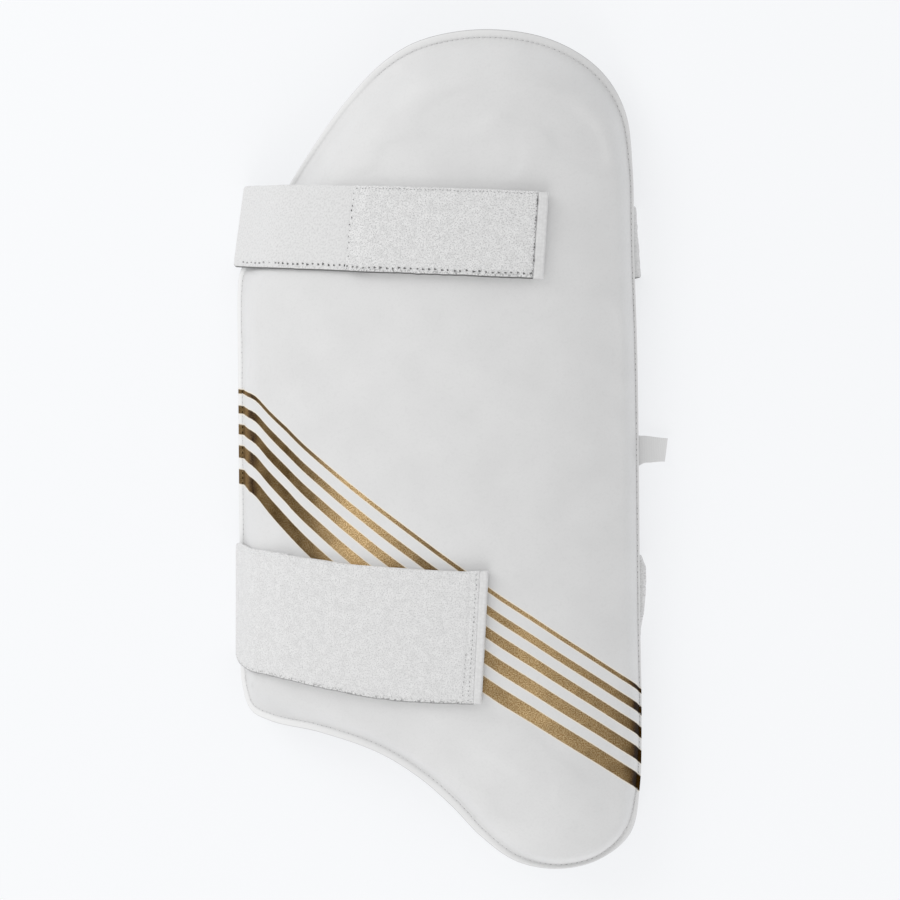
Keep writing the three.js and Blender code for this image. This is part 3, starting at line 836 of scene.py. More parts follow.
def panel(foam, name, material, cap):
    """One panel: its foam side, its sewn side and the cut edge between them."""
    side = foam["side"]
    top = panel_points(True)
    height, place, along, share, free = panel_surface(foam, top)
    height += free * settled(foam, top, cap) * smoothstep(0, 6, place[:, 0] - RIM_WIDTH)
    bottom = panel_points(False)
    bottom_place = from_edge(bottom)
    seam_height = GAP / 2 + 0.25 * (bottom_place[:, 0] < 0.15)
    rim_count = len(columns)
    upper = triangulate(top, rim_count)
    lower = triangulate(bottom, rim_count) + len(top)
    faces = [*upper[:, ::side].tolist(), *lower[:, ::-side].tolist()]
    first, second = (0, len(top)) if side > 0 else (len(top), 0)
    for i in range(rim_count):
        j = (i + 1) % rim_count
        faces.append([first + i, first + j, second + j, second + i])
    flat = np.vstack((top, bottom))
    points = on_arch(flat, side * np.concatenate((height, seam_height)))
    stripe = stripe_place(flat)
    along = np.concatenate((along, rim_place(bottom)))
    share = np.concatenate((share, bottom_place[:, 0] / RIM_WIDTH))
    corners = np.concatenate(faces)
    spans = np.concatenate([np.full(len(face), np.ptp(along[face])) for face in faces])
    wrapped = along[corners].copy()
    wrapped[(spans > rim_length / 2) & (wrapped < rim_length / 2)] += rim_length
    uvs = {
        "flat": flat[corners], "print": np.column_stack((flat[corners, 0], stripe[corners])),
        "rim": np.column_stack((wrapped, share[corners])),
    }
    made = make_object(name, points, faces, uvs, material)
    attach(made, "root")
    return made


face = panel(FACE, "face_panel", leather, 0.3)
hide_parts("pad_face")
back = panel(BACK, "back_panel", cloth, 0.6)
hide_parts("pad_back")


# Bands: the straps and the label


def arc(centre, radius, start, end, steps):
    angles = np.linspace(start, end, steps + 1)
    return np.column_stack(
        (centre[0] + radius * np.cos(angles), centre[1] + radius * np.sin(angles))
    )


def tight_line(points):
    """The tight upper line over a cloud of points, from left to right."""
    line = []
    for p in points[np.lexsort((points[:, 1], points[:, 0]))]:
        while len(line) > 1:
            a, b = line[-2], line[-1]
            if (b[0] - a[0]) * (p[1] - a[1]) - (b[1] - a[1]) * (p[0] - a[0]) < 0:
                break
            line.pop()
        line.append(p)
    return np.array(line)


def clip_line(line, start, end):
    """Part of a line between two places along its first coordinate, which rises."""
    at = [start, *line[(line[:, 0] > start) & (line[:, 0] < end), 0], end]
    return np.column_stack((at, np.interp(at, line[:, 0], line[:, 1])))


def softened(line, rounds):
    """A line with its corners eased, its ends kept."""
    line = line.copy()
    for _ in range(rounds):
        line[1:-1] = (line[:-2] + 2 * line[1:-1] + line[2:]) / 4
    return line


def normals_of(path):
    """At each point of a path in its plane, the way to the left of travel, longer at corners."""
    step = np.diff(path, axis=0)
    step /= np.linalg.norm(step, axis=1)[:, None]
    arriving = np.vstack((step[:1], step))
    leaving = np.vstack((step, step[-1:]))
    middle = arriving + leaving
    middle /= np.linalg.norm(middle, axis=1)[:, None]
    stretch = 1 / (middle * leaving).sum(1)
    return np.column_stack((-middle[:, 1], middle[:, 0])) * stretch[:, None]


def with_fine_ends(path, ply):
    """The path with the close stations at its ends that a rounded edge needs."""
    length = np.concatenate(([0], np.cumsum(np.linalg.norm(np.diff(path, axis=0), axis=1))))
    near = np.array([0.0, 0.05, 0.15, 0.3, 0.5]) * ply
    inner = length[(length > ply * 0.8) & (length < length[-1] - ply * 0.8)]
    at = np.concatenate((near, inner, length[-1] - near[::-1]))
    return np.column_stack([np.interp(at, length, column) for column in path.T]), at


def places_across(width, step, ply):
    """Places across a band, closer together where its edges round over."""
    near = np.array([0.0, 0.05, 0.15, 0.3, 0.5]) * ply
    inner = width / 2 - 0.8 * ply
    count = int(round(2 * inner / step))
    middle = np.linspace(-inner, inner, count + 1)
    return np.concatenate((near - width / 2, middle, width / 2 - near[::-1]))


def band(
    name, strap, path, step, ply, material, leans=0.0, shifts=0.0, halves=None, relief=None,
    ends=None, pushed=None,
):
    """A band of cloth along a path, closed, with rounded edges.

    leans are how far the far edge lies ahead of the middle for each unit of width, shifts how
    far the middle lies aside and halves the two half widths, all at the path's stations. relief
    raises the outer side, ends moves the two ends along and pushed moves the band sideways on
    the floor plan, all by the places along and across.
    Returns the object and a reader of its outer side: points and normals at places along and
    across.
    """
    width = strap["width"]
    leans = np.broadcast_to(leans, len(path)).astype(float)
    shifts = np.broadcast_to(shifts, len(path)).astype(float)
    stations, at = with_fine_ends(np.column_stack((path, leans, shifts)), ply)
    path, leans, shifts = stations[:, :2], stations[:, 2], stations[:, 3]
    across = places_across(width, step, ply)
    low, high = np.full((2, len(at)), width / 2) if halves is None else halves(at, path)
    scaled = np.where(
        across < 0, across * (low[:, None] * 2 / width), across * (high[:, None] * 2 / width)
    )
    edge_in = np.clip((width / 2 - np.abs(across)) / (ply / 2), 0, 1)
    end_in = np.clip(np.minimum(at, at[-1] - at) / (ply / 2), 0, 1)
    bulge = np.sqrt(1 - (1 - edge_in) ** 2) * np.maximum(
        np.sqrt(1 - (1 - end_in[:, None]) ** 2), 0.06
    )
    along = np.broadcast_to(at[:, None], scaled.shape)
    thick = ply if relief is None else np.maximum(ply + relief(along, scaled), 0.1)
    upper = thick / 2 * (1 + bulge)
    lower = thick / 2 * (1 - bulge)
    normals = normals_of(path)
    turn = math.radians(strap.get("tilt", 0.0))
    reach = np.zeros(scaled.shape)
    if ends is not None:
        reach = ends(along, scaled, at[-1])
    aside = np.zeros(scaled.shape) if pushed is None else pushed(along, scaled)

    def placed(height):
        tangent = np.column_stack((normals[:, 1], -normals[:, 0]))
        x = path[:, :1] + aside + leans[:, None] * scaled
        x = x + normals[:, :1] * height + tangent[:, :1] * reach
        z = path[:, 1:] + normals[:, 1:] * height + tangent[:, 1:] * reach
        y = scaled + shifts[:, None]
        return np.stack(
            (
                arch_x + x * math.cos(turn) - y * math.sin(turn),
                pad_y + strap["along"] * half_length + x * math.sin(turn) + y * math.cos(turn), z,
            ),
            axis=-1,
        )

    outer, inner = placed(upper), placed(lower)
    count, wide = scaled.shape
    top = np.arange(count * wide).reshape(count, wide)
    bottom = top.copy()
    bottom[:, 1:-1] = count * wide + np.arange(count * (wide - 2)).reshape(count, wide - 2)
    points = np.vstack((outer.reshape(-1, 3), inner[:, 1:-1].reshape(-1, 3)))
    quads = np.stack((top[:-1, :-1], top[1:, :-1], top[1:, 1:], top[:-1, 1:]), -1).reshape(-1, 4)
    under = (bottom[:-1, :-1], bottom[:-1, 1:], bottom[1:, 1:], bottom[1:, :-1])
    under = np.stack(under, -1).reshape(-1, 4)
    first = np.stack((top[0, :-1], top[0, 1:], bottom[0, 1:], bottom[0, :-1]), -1)
    last = np.stack((top[-1, 1:], top[-1, :-1], bottom[-1, :-1], bottom[-1, 1:]), -1)
    faces = []
    for quad in np.vstack((quads, under, first, last)).tolist():
        kept = list(dict.fromkeys(quad))
        if len(kept) > 2:
            faces.append(kept)
    corners = np.concatenate(faces)
    from_low = np.broadcast_to(across + width / 2, scaled.shape)
    maps = {"flat": (along, scaled), "edge": (from_low, width - from_low)}
    uvs = {}
    for label, parts in maps.items():
        uv = np.stack(parts, -1)
        uvs[label] = np.vstack((uv.reshape(-1, 2), uv[:, 1:-1].reshape(-1, 2)))[corners]
    made = make_object(name, points, faces, uvs, material)
    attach(made, "root")

    def read(wanted_along, wanted_across):
        """Points and normals of the outer side."""
        i = np.clip(np.searchsorted(at, wanted_along) - 1, 0, count - 2)
        j = np.clip(np.searchsorted(across, wanted_across) - 1, 0, wide - 2)
        s = ((wanted_along - at[i]) / (at[i + 1] - at[i]))[:, None]
        t = ((wanted_across - across[j]) / (across[j + 1] - across[j]))[:, None]
        one, two = outer[i, j], outer[i + 1, j]
        three, four = outer[i, j + 1], outer[i + 1, j + 1]
        point = (1 - s) * (1 - t) * one + s * (1 - t) * two + (1 - s) * t * three + s * t * four
        flat_normal = [np.interp(wanted_along, at, normals[:, k]) for k in (0, 1)]
        up = np.column_stack(
            (flat_normal[0] * math.cos(turn), flat_normal[0] * math.sin(turn), flat_normal[1])
        )
        return point, up / np.linalg.norm(up, axis=1)[:, None]

    return made, read, at


def outermost(middle, width, side):
    """The flat place of the outermost point of one long edge, in a band of the pad."""
    inside = (edge[:, 0] * side > 0) & (np.abs(edge[:, 1] - middle) < width / 2)
    return side * (edge[inside, 0] * side).max()


def strap_paths(strap):
    """The lines that a strap's pieces follow, as in the part's source."""
    half = strap["width"] / 2
    middle = strap["along"] * half_length
    root_middle = middle + strap["root_shift"] * half_length
    right_edge = outermost(root_middle, strap["width"], 1)
    slope = right_edge / ARCH_RADIUS
    outward = np.array([math.cos(slope), -math.sin(slope)])
    upward = np.array([math.sin(slope), math.cos(slope)])
    under_rim = (ARCH_RADIUS - strap_depth) * upward + [0, arch_z]
    root = under_rim + (GAP - RIM_WIDTH) * outward
    fold_start = under_rim + FOLD_REACH * outward
    fold_radius = (fold_start[1] - STRAP_PLY) / (1 + math.cos(slope))
    fold_centre = fold_start - fold_radius * upward
    fold = arc(fold_centre, fold_radius, math.pi / 2 - slope, -math.pi / 2, 18)
    root_lean = math.tan(math.radians(strap["tilt"]))

    left_edge = outermost(middle, strap["width"], -1)
    left_x = (ARCH_RADIUS + GAP / 2 + RIM_PLY) * math.sin(left_edge / ARCH_RADIUS)
    turn_left = left_x - TURN_CLEARANCE - strap["turn_reach"] - abs(root_lean * half)
    turn_centre = (turn_left + TURN_RADIUS, STRAP_PLY + TURN_RADIUS)
    below = arc(turn_centre, TURN_RADIUS, -math.pi / 2, -math.pi, 10)
    above = arc(turn_centre, TURN_RADIUS, -math.pi, -1.5 * math.pi, 10)

    seam, pile_end, tab_end = (strap[key] * half_width for key in ("seam", "pile_end", "tab_end"))
    elastic_end = seam + SPLICE_LAP

    def lean(x):
        share = (np.asarray(x) - turn_left) / (tab_end - turn_left)
        turned = strap["end_lean"] - strap["turn_lean"]
        return np.tan(np.radians(strap["turn_lean"] + share * turned))

    def bowed(line):
        return strap["bow"] * (1 - smoothstep(strap["bow_from"], strap["bow_to"], line[:, 0]))

    # What the strap lies on, each place moved to the station that passes over it
    turn = math.radians(strap["tilt"])
    u, across = np.meshgrid(np.linspace(-half_width, half_width, 141), np.linspace(-half, half, 9))
    u, across = u.ravel(), across.ravel()
    x = ARCH_RADIUS * np.sin(u / ARCH_RADIUS)
    flat = np.column_stack((u, x * math.sin(turn) + across * math.cos(turn) + middle))
    height, place = foam_height(FACE, flat)
    raised = on_arch(flat, height + LIE_CLEARANCE) - [arch_x, pad_y + middle, 0]
    local = raised[:, 0] * math.cos(turn) + raised[:, 1] * math.sin(turn)
    support = np.column_stack((local - lean(local) * across, raised[:, 2]))[place[:, 0] >= 0]
    over = tight_line(np.vstack((above, support)))
    over, _ = resample(over, STRAP_STEP)
    over = softened(over, 6)

    floor, _ = resample(np.array([fold[-1], below[0]]), 2.0)
    over_elastic = clip_line(over, over[0, 0], elastic_end)
    path = np.vstack((root, fold, floor[1:-1], below, over_elastic[1:]))
    share = np.zeros(len(path))
    first, last = len(fold) + 1, len(fold) + len(floor) - 1
    share[first:last] = np.arange(1, last - first + 1) / (last - first + 1)
    share[last:] = 1
    leans = (1 - share) * root_lean + share * lean(path[:, 0])
    shifts = (1 - share) * (root_middle - middle) + share * bowed(path)
    pile_base = clip_line(over, seam, pile_end)
    pile_path = pile_base + normals_of(pile_base) * (STRAP_PLY + GAP)
    hook_path = clip_line(over, elastic_end + SPLICE_SPACE, tab_end)
    return {
        "elastic": (path, leans, shifts),
        "pile": (pile_path, lean(pile_path[:, 0]), bowed(pile_path)),
        "hook": (hook_path, lean(hook_path[:, 0]), bowed(hook_path)),
        "turn_left": turn_left,
        "fold_length": np.linalg.norm(fold_start - root) + fold_radius * (math.pi - slope),
    }


def wavering(at, seed, broad, fine):
    """Small changes of a half width along a band."""
    along = np.column_stack((at, np.zeros(len(at))))
    return broad * noise_at(along, 22.0, seed) + fine * noise_at(along, 4.0, seed + 1)


def tufted(along, across, seed, size, height):
    """Lumps of a pile's tufts."""
    flat = np.column_stack((along.ravel(), across.ravel()))
    lumps = 0.65 * noise_at(flat, size, seed) + 0.35 * noise_at(flat, size * 3.1, seed + 1)
    return (height * lumps).reshape(along.shape)


def rounded_corner(distance, radius):
    """How far a corner of the given radius draws an edge in, by the distance from the end."""
    inside = np.clip(radius - distance, 0, radius)
    return radius - np.sqrt(radius**2 - inside**2)


made_bands = {}
for seed, strap in ((21.0, TOP_STRAP), (43.0, BOTTOM_STRAP)):
    lines = strap_paths(strap)
    half = strap["width"] / 2
    is_top = strap is TOP_STRAP
    turn_left = lines["turn_left"]
    fold_length = lines["fold_length"]

    def drawn_in(path):
        x, low, high = zip(*strap["draw_in"])
        return np.interp(path[:, 0], x, low), np.interp(path[:, 0], x, high)

    def elastic_halves(at, path):
        # The corners round off where the band goes round the left edge, and it gathers at its fold.
        from_turn = np.maximum(path[:, 0] - turn_left, 0)
        at_fold = np.exp(-(((at - fold_length) / 9.0) ** 2))
        sides = []
        for side, narrowed in enumerate(drawn_in(path)):
            corner = rounded_corner(from_turn, strap["corners"][side])
            gathered = strap["gathered"][side] * at_fold
            waver = wavering(at, seed + 5 * side, 0.22, 0.1)
            sides.append(half + waver - corner - gathered - narrowed)
        return sides

    def fold_push(along, across):
        # How far the fold reaches out from under the rim changes over the width.
        places, reach = zip(*strap["fold_reach"])
        near_fold = 1 - smoothstep(fold_length + 4, fold_length + 30, along)
        flat = np.column_stack((across.ravel(), np.zeros(across.size)))
        ragged = 0.3 * noise_at(flat, 5.0, seed + 31) + 0.25 * noise_at(flat, 1.8, seed + 33)
        ragged = ragged.reshape(across.shape)
        return near_fold * (np.interp(across, places, reach) + ragged)

    def elastic_relief(along, across):
        if not is_top:
            # It rises to meet the tape sewn over it.
            to_tape = along.max() - SPLICE_LAP - along
            level = 0.35 * smoothstep(6.0, 1.0, to_tape) * smoothstep(-0.7, -0.2, to_tape)
            return tufted(along, across, seed, 1.5, 0.13) + level
        seam_row = np.exp(-(((across + half - 2.4) / 0.5) ** 2))
        return tufted(along, across, seed, 2.2, 0.07) - 0.25 * seam_row

    path, leans, shifts = lines["elastic"]
    made, read, at = band(
        f"{strap['name']}_elastic_band", strap, path, 1.0, STRAP_PLY,
        elastic if is_top else brushed_pile, leans=leans, shifts=shifts, halves=elastic_halves,
        relief=elastic_relief, pushed=fold_push,
    )
    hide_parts(f"{strap['name']}_elastic")
    made_bands[strap["name"], "elastic"] = (made, read, at)

    def pile_halves(at, path):
        low, high = drawn_in(path)
        low = half + wavering(at, seed + 9, 0.25, 0.22) - low
        high = half + wavering(at, seed + 13, 0.2, 0.15) - high
        return low, high

    def pile_relief(along, across):
        length = along.max()
        raised = tufted(along, across, seed + 3, 1.2, 0.2 if is_top else 0.16)
        # The tape thins where it starts, so that it meets the band beside it.
        start = (-1.25 if is_top else -1.5) * (1 - smoothstep(0, 9, along))
        if is_top:
            raised *= 1 + 1.4 * np.exp(-(((across + half - 3.4) / 1.6) ** 2))
            rows = np.exp(-(((across + half - 2.4) / 0.55) ** 2))
            rows += 0.7 * np.exp(-(((across - half + 1.2) / 0.35) ** 2))
        else:
            rows = np.exp(-(((length - along - 1.0) / 0.4) ** 2))
            rows += np.exp(-(((length - along - 4.0) / 0.4) ** 2))
            rows += 0.6 * np.exp(-(((across - half + 4.0) / 0.5) ** 2)) * smoothstep(3, 12, along)
            rows += np.exp(-(((along - 4.3) / 0.6) ** 2)) * smoothstep(-24, -12, across)
            frayed = smoothstep(9, 1, across + half) * smoothstep(10, 60, along)
            raised += tufted(along, across, seed + 51, 0.95, 0.45) * frayed
        return raised + start - 0.3 * rows

    def pile_ends(along, across, length):
        flat = np.column_stack((across.ravel(), np.zeros(across.size)))
        ragged = 0.35 * noise_at(flat, 3.0, seed + 17) + 0.25 * noise_at(flat, 1.2, seed + 19)
        ragged = ragged.reshape(across.shape) * (1.0 if is_top else 0.25)
        return ragged * (np.exp(-along / 1.5) + np.exp(-(length - along) / 1.5))

    path, leans, shifts = lines["pile"]
    fine, _ = resample(np.column_stack((path, leans, shifts)), PILE_STEP)
    made, read, at = band(
        f"{strap['name']}_pile_tape", strap, fine[:, :2], PILE_STEP, STRAP_PLY,
        pile if is_top else brushed_pile, leans=fine[:, 2], shifts=fine[:, 3], halves=pile_halves,
        relief=pile_relief, ends=pile_ends,
    )
    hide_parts(f"{strap['name']}_pile")
    made_bands[strap["name"], "pile"] = (made, read, at)

    pile_length = (strap["pile_end"] - strap["seam"]) * half_width
    bare_end = (strap["tab_end"] - strap["pile_end"]) * half_width

    def hook_relief(along, across):
        # Past the pile the bare end stands up level with it.
        from_end = along.max() - along
        lap = 0.1 if is_top else 0.7
        return 1.7 * smoothstep(bare_end + lap, bare_end + lap - 0.3, from_end)

    def hook_halves(at, path):
        return [half - 0.2 - narrowed for narrowed in drawn_in(path)]

    path, leans, shifts = lines["hook"]
    fine, _ = resample(np.column_stack((path, leans, shifts)), 0.7)
    made, read, at = band(
        f"{strap['name']}_hook_tape", strap, fine[:, :2], 1.2, STRAP_PLY, hooks, leans=fine[:, 2],
        shifts=fine[:, 3], halves=hook_halves, relief=hook_relief,
    )
    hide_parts(f"{strap['name']}_hook")
    made_bands[strap["name"], "hook"] = (made, read, at)


def label_halves(at, path):
    # The ribbon is cut wide where it is sewn in, and narrows on its lower side.
    low = 0.6 - 1.7 * smoothstep(4.0, 8.5, at) - 0.6 * smoothstep(8.5, LABEL_LENGTH, at)
    high = 0.4 - 1.1 * smoothstep(6.0, LABEL_LENGTH, at)
    return LABEL_WIDTH / 2 + low, LABEL_WIDTH / 2 + high


def label_push(along, across):
    outer = smoothstep(10.0, LABEL_LENGTH, along)
    return outer * 0.12 * across


def label_path():
    """The label comes out from under the rim and levels out."""
    right_edge = outermost(0, LABEL_WIDTH, 1)
    slope = right_edge / ARCH_RADIUS
    radius = ARCH_RADIUS - (GAP / 2 + RIM_PLY + GAP + LABEL_PLY)
    start = np.array([radius * math.sin(slope), arch_z + radius * math.cos(slope)])
    points = [start + (GAP - RIM_WIDTH) * np.array([math.cos(slope), -math.sin(slope)])]
    steps = 24
    step = (RIM_WIDTH - GAP + LABEL_REACH) / steps
    for i in range(steps):
        here = slope * (1 - i / (steps - 1))
        points.append(points[-1] + step * np.array([math.cos(here), -math.sin(here)]))
    return np.array(points)


label, read_label, label_at = band(
    "folded_side_label", {"width": LABEL_WIDTH, "along": 0.0}, label_path(), 0.8, LABEL_PLY, satin,
    halves=label_halves, pushed=label_push,
)
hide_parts("side_label")


# Stitching, made by one Geometry Nodes tree that sets small solids along a line


def repeat_tree():
    """Sets a rounded bead, or a three-sided mark, along a line of points at an even pitch.

    The line carries the way up as the attribute "up". Length runs along the line.
    """
    tree = bpy.data.node_groups.new("set_along_a_line", "GeometryNodeTree")
    sockets = [
        ("Line", "NodeSocketGeometry"), ("Pitch", "NodeSocketFloat"),
        ("Smallest", "NodeSocketVector"), ("Largest", "NodeSocketVector"),
        ("Three-sided", "NodeSocketBool"), ("Wander", "NodeSocketFloat"), ("Seed", "NodeSocketInt"),
        ("Finish", "NodeSocketMaterial"),
    ]
    for name, kind in sockets:
        tree.interface.new_socket(name, in_out="INPUT", socket_type=kind)
    tree.interface.new_socket("Solids", in_out="OUTPUT", socket_type="NodeSocketGeometry")
    given = add(tree, "NodeGroupInput").outputs
    curve = add(tree, "GeometryNodeMeshToCurve", {0: given["Line"]})
    points = add(
        tree, "GeometryNodeCurveToPoints",
        {0: curve.outputs[0], "Length": given["Pitch"]}, mode="LENGTH",
    )
    up = add(tree, "GeometryNodeInputNamedAttribute", {"Name": "up"}, data_type="FLOAT_VECTOR")
    upright = add(tree, "FunctionNodeAlignRotationToVector", {"Vector": up.outputs[0]}, axis="Z")
    facing = add(
        tree, "FunctionNodeAlignRotationToVector",
        {"Rotation": upright.outputs[0], "Vector": points.outputs["Tangent"]}, axis="X",
        pivot_axis="Z",
    )
    bead = add(tree, "GeometryNodeMeshUVSphere", {"Segments": 8, "Rings": 5, "Radius": 0.5})
    mark = add(
        tree, "GeometryNodeMeshCone",
        {"Vertices": 3, "Radius Top": 0.25, "Radius Bottom": 0.55, "Depth": 1.0},
    )
    sunk = {"Geometry": mark.outputs[0], "Translation": (0, 0, -0.5)}
    centred = add(tree, "GeometryNodeTransform", sunk)
    shape = add(
        tree, "GeometryNodeSwitch",
        {"Switch": given["Three-sided"], "False": bead.outputs[0], "True": centred.outputs[0]},
        input_type="GEOMETRY",
    )
    size = add(
        tree, "FunctionNodeRandomValue",
        {0: given["Smallest"], 1: given["Largest"], "Seed": given["Seed"]},
        data_type="FLOAT_VECTOR",
    )
    back = add(tree, "ShaderNodeMath", {0: given["Wander"], 1: -1.0}, operation="MULTIPLY")
    low = add(tree, "ShaderNodeCombineXYZ", {0: back.outputs[0], 1: back.outputs[0]})
    high = add(tree, "ShaderNodeCombineXYZ", {0: given["Wander"], 1: given["Wander"]})
    other = add(tree, "ShaderNodeMath", {0: given["Seed"], 1: 7.0}, operation="ADD")
    offset = add(
        tree, "FunctionNodeRandomValue",
        {0: low.outputs[0], 1: high.outputs[0], "Seed": other.outputs[0]}, data_type="FLOAT_VECTOR",
    )
    wandering = add(
        tree, "GeometryNodeSetPosition", {0: points.outputs[0], "Offset": offset.outputs[0]}
    )
    placed = add(
        tree,
        "GeometryNodeInstanceOnPoints",
        {
            "Points": wandering.outputs[0], "Instance": shape.outputs[0],
            "Rotation": facing.outputs[0], "Scale": size.outputs[0],
        },
    )
    real = add(tree, "GeometryNodeRealizeInstances", {0: placed.outputs[0]})
    coated = {0: real.outputs[0], "Material": given["Finish"]}
    finished = add(tree, "GeometryNodeSetMaterial", coated)
    add(tree, "NodeGroupOutput", {0: finished.outputs[0]})
    return tree


along_line = repeat_tree()


def set_along(name, points, ups, pitch, smallest, largest, material, seed, marks=False, wander=0.0):
    """A piece made of many small solids along a line. Sizes are length, width and height."""
    mesh = bpy.data.meshes.new(name)
    edges = [(i, i + 1) for i in range(len(points) - 1)]
    mesh.from_pydata((np.asarray(points) * MM).tolist(), edges, [])
    attribute = mesh.attributes.new("up", "FLOAT_VECTOR", "POINT")
    attribute.data.foreach_set("vector", np.asarray(ups, float).ravel())
    line = bpy.data.objects.new(name + "_line", mesh)
    bpy.context.scene.collection.objects.link(line)
    modifier = line.modifiers.new("set_along", "NODES")
    modifier.node_group = along_line
    values = {
        "Pitch": pitch * MM, "Smallest": [s * MM for s in smallest],
        "Largest": [s * MM for s in largest], "Three-sided": marks, "Wander": wander * MM,
        "Seed": seed, "Finish": material,
    }
    for item in along_line.interface.items_tree:
        if item.in_out == "INPUT" and item.name in values:
            modifier[item.identifier] = values[item.name]
    line.update_tag()
    evaluated = line.evaluated_get(bpy.context.evaluated_depsgraph_get())
    result = bpy.data.meshes.new_from_object(evaluated)
    result.name = name
    bpy.data.objects.remove(line)
    if not marks:
        result.shade_smooth()
    made = bpy.data.objects.new(name, result)
    bpy.context.scene.collection.objects.link(made)
    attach(made, "root")
    return made


UNDER_FOIL = 0.7  # how deep stitches lie where the foil or the leather covers them


def rim_line(foam, share_of_rim, lift, start=0.0):
    """A closed line round a panel's rim at a share of its width, and the way up along it.

    Where the line crosses the foil it sinks, because the foil hides what is sewn there.
    """
    count = int(round(rim_length / 0.8))
    at = (np.linspace(0, rim_length, count + 1) + start) % rim_length
    wrapped = np.vstack((columns, columns[:1]))
    inner = np.vstack((inward, inward[:1]))
    along = np.append(rim_along, rim_length)
    row = np.column_stack([np.interp(at, along, column) for column in wrapped.T])
    ways = np.column_stack([np.interp(at, along, column) for column in inner.T])
    rim = RIM_WIDTH * (row[:, 3] if foam["side"] > 0 else np.ones(len(row)))
    flat = row[:, :2] + ways * (rim * share_of_rim)[:, None]
    height = panel_surface(foam, flat)[0]
    side = foam["side"]
    across_stripes = stripe_place(flat)
    foiled = np.any(
        [(first < across_stripes) & (across_stripes < last) for first, last in STRIPES], axis=0
    )
    # Along the upper left the leather closes over the stitches.
    lift = lift - UNDER_FOIL * np.maximum(foiled, upper_left(flat)) * (side > 0)
    points = on_arch(flat, side * (height + lift))
    ups = side * (on_arch(flat, np.ones(len(flat))) - on_arch(flat, np.zeros(len(flat))))
    return points, ups


stitch_small, stitch_large = (1.5, 0.42, 0.32), (1.75, 0.5, 0.4)
for foam, where in ((FACE, "face"), (BACK, "back")):
    points, ups = rim_line(foam, TOPSTITCH_LINE, 0.03)
    set_along(
        f"{where}_rim_topstitch", points, ups, TOPSTITCH_PITCH,
        stitch_small, stitch_large, thread, 5, wander=0.08,
    )
    # The needle holes are small marks with their shade painted on.
    points, ups = rim_line(foam, TOPSTITCH_LINE, -0.05, TOPSTITCH_PITCH / 2)
    set_along(
        f"{where}_rim_needle_holes", points, ups, TOPSTITCH_PITCH, (0.8, 0.4, 0.2),
        (1.15, 0.5, 0.3), hole_painted_shade, 8, wander=0.08,
    )


def strap_row(strap, piece, starts, ends, lift):
    """A line on a band's outer side between two places along and across, and the way up."""
    _, read, _ = made_bands[strap["name"], piece]
    length = math.hypot(ends[0] - starts[0], ends[1] - starts[1])
    share = np.linspace(0, 1, max(int(length / 3.0), 2))
    points, ups = read(
        starts[0] + share * (ends[0] - starts[0]), starts[1] + share * (ends[1] - starts[1])
    )
    return points + ups * lift, ups


ELASTIC_LENGTH = made_bands["top_strap", "elastic"][2][-1]
TOP_LENGTH = made_bands["top_strap", "pile"][2][-1]
BOTTOM_LENGTH = made_bands["bottom_strap", "pile"][2][-1]
TOP_HALF = TOP_STRAP["width"] / 2
BOTTOM_HALF = BOTTOM_STRAP["width"] / 2

# Rows of overlock stitching show as small dark gaps near the top strap's lower edge, and the tapes'
# sewn ends as broken lines: small marks with the gaps' shade painted on them.
broad_marks = ((1.2, 1.0, 0.4), (1.9, 1.6, 0.7), gap_painted_shade)
long_marks = ((1.5, 0.7, 0.4), (2.4, 1.2, 0.6), soft_gap_painted_shade)
ragged_marks = ((0.5, 0.4, 0.3), (1.8, 1.0, 0.6), gap_painted_shade)
fine_marks = ((0.9, 0.35, 0.25), (1.5, 0.5, 0.35), soft_gap_painted_shade)
low, high = -TOP_HALF, TOP_HALF
rows = [
    ("top_strap_side_lower_gaps", TOP_STRAP, "elastic", (ELASTIC_LENGTH - 79, low + 2.5),
     (ELASTIC_LENGTH - 47, low + 2.7), 4.6, 0.12, long_marks, 0.25, 30),
    ("top_strap_band_lower_gaps", TOP_STRAP, "elastic", (ELASTIC_LENGTH - 45, low + 2.7),
     (ELASTIC_LENGTH - SPLICE_LAP - 0.5, low + 2.9), 2.75, 0.16, broad_marks, 0.25, 31),
    ("top_strap_tape_lower_gaps", TOP_STRAP, "pile", (1.0, low + 2.3),
     (TOP_LENGTH - 1.0, low + 2.3), 2.7, 0.16, broad_marks, 0.25, 32),
    ("top_strap_tape_end_gaps", TOP_STRAP, "pile", (TOP_LENGTH - 0.35, low + 1.0),
     (TOP_LENGTH - 0.35, high - 1.0), 1.4, 0.0, ragged_marks, 0.35, 33),
    ("top_strap_splice_gaps", TOP_STRAP, "pile", (0.5, low + 7.0),
     (0.5, high - 3.0), 2.6, 0.1, ragged_marks, 0.6, 37),
    ("top_strap_tape_upper_gaps", TOP_STRAP, "pile", (2.0, high - 1.1),
     (TOP_LENGTH - 1.0, high - 1.1), 1.6, 0.05, fine_marks, 0.2, 36),
]
low, high = -BOTTOM_HALF, BOTTOM_HALF
rows += [
    ("bottom_strap_tape_end_gaps", BOTTOM_STRAP, "pile", (BOTTOM_LENGTH - 2.4, low + 2),
     (BOTTOM_LENGTH - 1.5, high - 2), 2.0, 0.06, fine_marks, 0.2, 34),
    ("bottom_strap_tape_inner_gaps", BOTTOM_STRAP, "pile", (BOTTOM_LENGTH - 5.0, low + 4),
     (BOTTOM_LENGTH - 4.6, low + 22), 2.0, 0.04, fine_marks, 0.3, 35),
]
for name, strap, piece, starts, ends, pitch, lift, marks, wander, seed in rows:
    points, ups = strap_row(strap, piece, starts, ends, lift)
    set_along(name, points, ups, pitch, *marks, seed, marks=True, wander=wander)


# Camera, floor and light

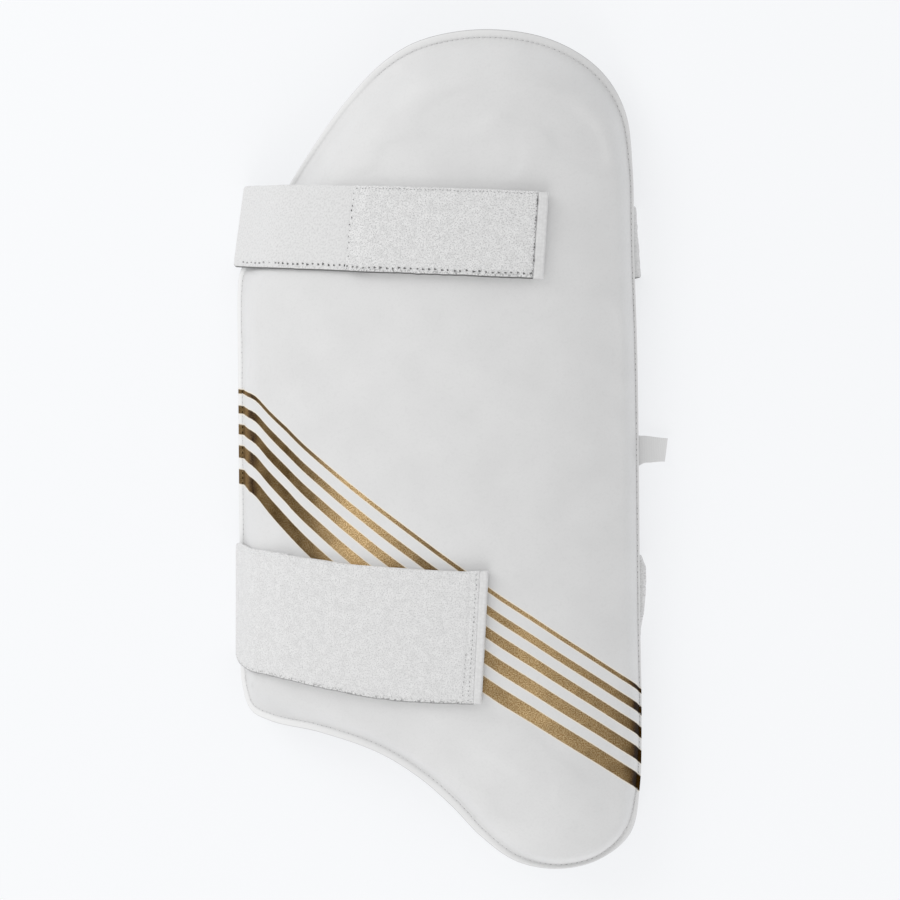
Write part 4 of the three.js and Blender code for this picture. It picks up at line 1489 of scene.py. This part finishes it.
floor_mesh = bpy.data.meshes.new("studio_floor")
span = 6.0
floor_corners = [(-span, -span, 0), (span, -span, 0), (span, span, 0), (-span, span, 0)]
floor_mesh.from_pydata(floor_corners, [], [(0, 1, 2, 3)])
floor = bpy.data.objects.new("studio_floor", floor_mesh)
bpy.context.scene.collection.objects.link(floor)
paper, paper_tree, paper_shader = shader_of("studio_paper", Roughness=0.9)
paper_shader.inputs["Base Color"].default_value = colour("#898a8b")
paper_shader.inputs["Emission Color"].default_value = colour("#f7f8fa")
paper_shader.inputs["Emission Strength"].default_value = 0.74
floor_mesh.materials.append(paper)

CAMERA_TARGET = Vector((7.0, 1.1, 22.0)) * MM
CAMERA_DISTANCE = 950.0 * MM
CAMERA_ASIDE = math.radians(15.0)
CAMERA_ALONG = math.radians(4.0)
FRAME_WIDTH = 408.15 * MM  # what the picture's width takes in at the target
back_way = Vector(
    (
        math.sin(CAMERA_ASIDE) * math.cos(CAMERA_ALONG), math.sin(CAMERA_ALONG),
        math.cos(CAMERA_ASIDE) * math.cos(CAMERA_ALONG),
    )
)
right_way = Vector((0, 1, 0)).cross(back_way).normalized()
up_way = back_way.cross(right_way)
lens = bpy.data.cameras.new("camera")
lens.sensor_width = 36.0
lens.sensor_fit = "HORIZONTAL"
lens.lens = lens.sensor_width * CAMERA_DISTANCE / FRAME_WIDTH
lens.clip_start = 0.05
camera = bpy.data.objects.new("camera", lens)
camera.matrix_world = Matrix.Translation(CAMERA_TARGET + back_way * CAMERA_DISTANCE) @ Matrix(
    (right_way, up_way, back_way)
).transposed().to_4x4()
bpy.context.scene.collection.objects.link(camera)
bpy.context.scene.camera = camera


def area_light(name, place, size, power, tint):
    light = bpy.data.lights.new(name, "AREA")
    light.shape = "RECTANGLE"
    light.size, light.size_y = size
    light.energy = power
    light.color = colour(tint)[:3]
    held = bpy.data.objects.new(name, light)
    place = Vector(place)
    turned = place.to_track_quat("Z", "Y").to_matrix().to_4x4()
    held.matrix_world = Matrix.Translation(place) @ turned
    bpy.context.scene.collection.objects.link(held)


area_light("key_from_upper_left", (-0.95, 0.95, 1.0), (1.1, 1.1), 8.7, "#ffffff")
area_light("fill_from_below", (0.0, -1.3, 1.0), (1.1, 1.1), 5.9, "#ffffff")

world = bpy.data.worlds.new("studio")
world.use_nodes = True
background = world.node_tree.nodes["Background"]
background.inputs[0].default_value = colour("#ffffff")
background.inputs[1].default_value = 0.665
bpy.context.scene.world = world
bpy.context.scene.view_settings.view_transform = "Standard"
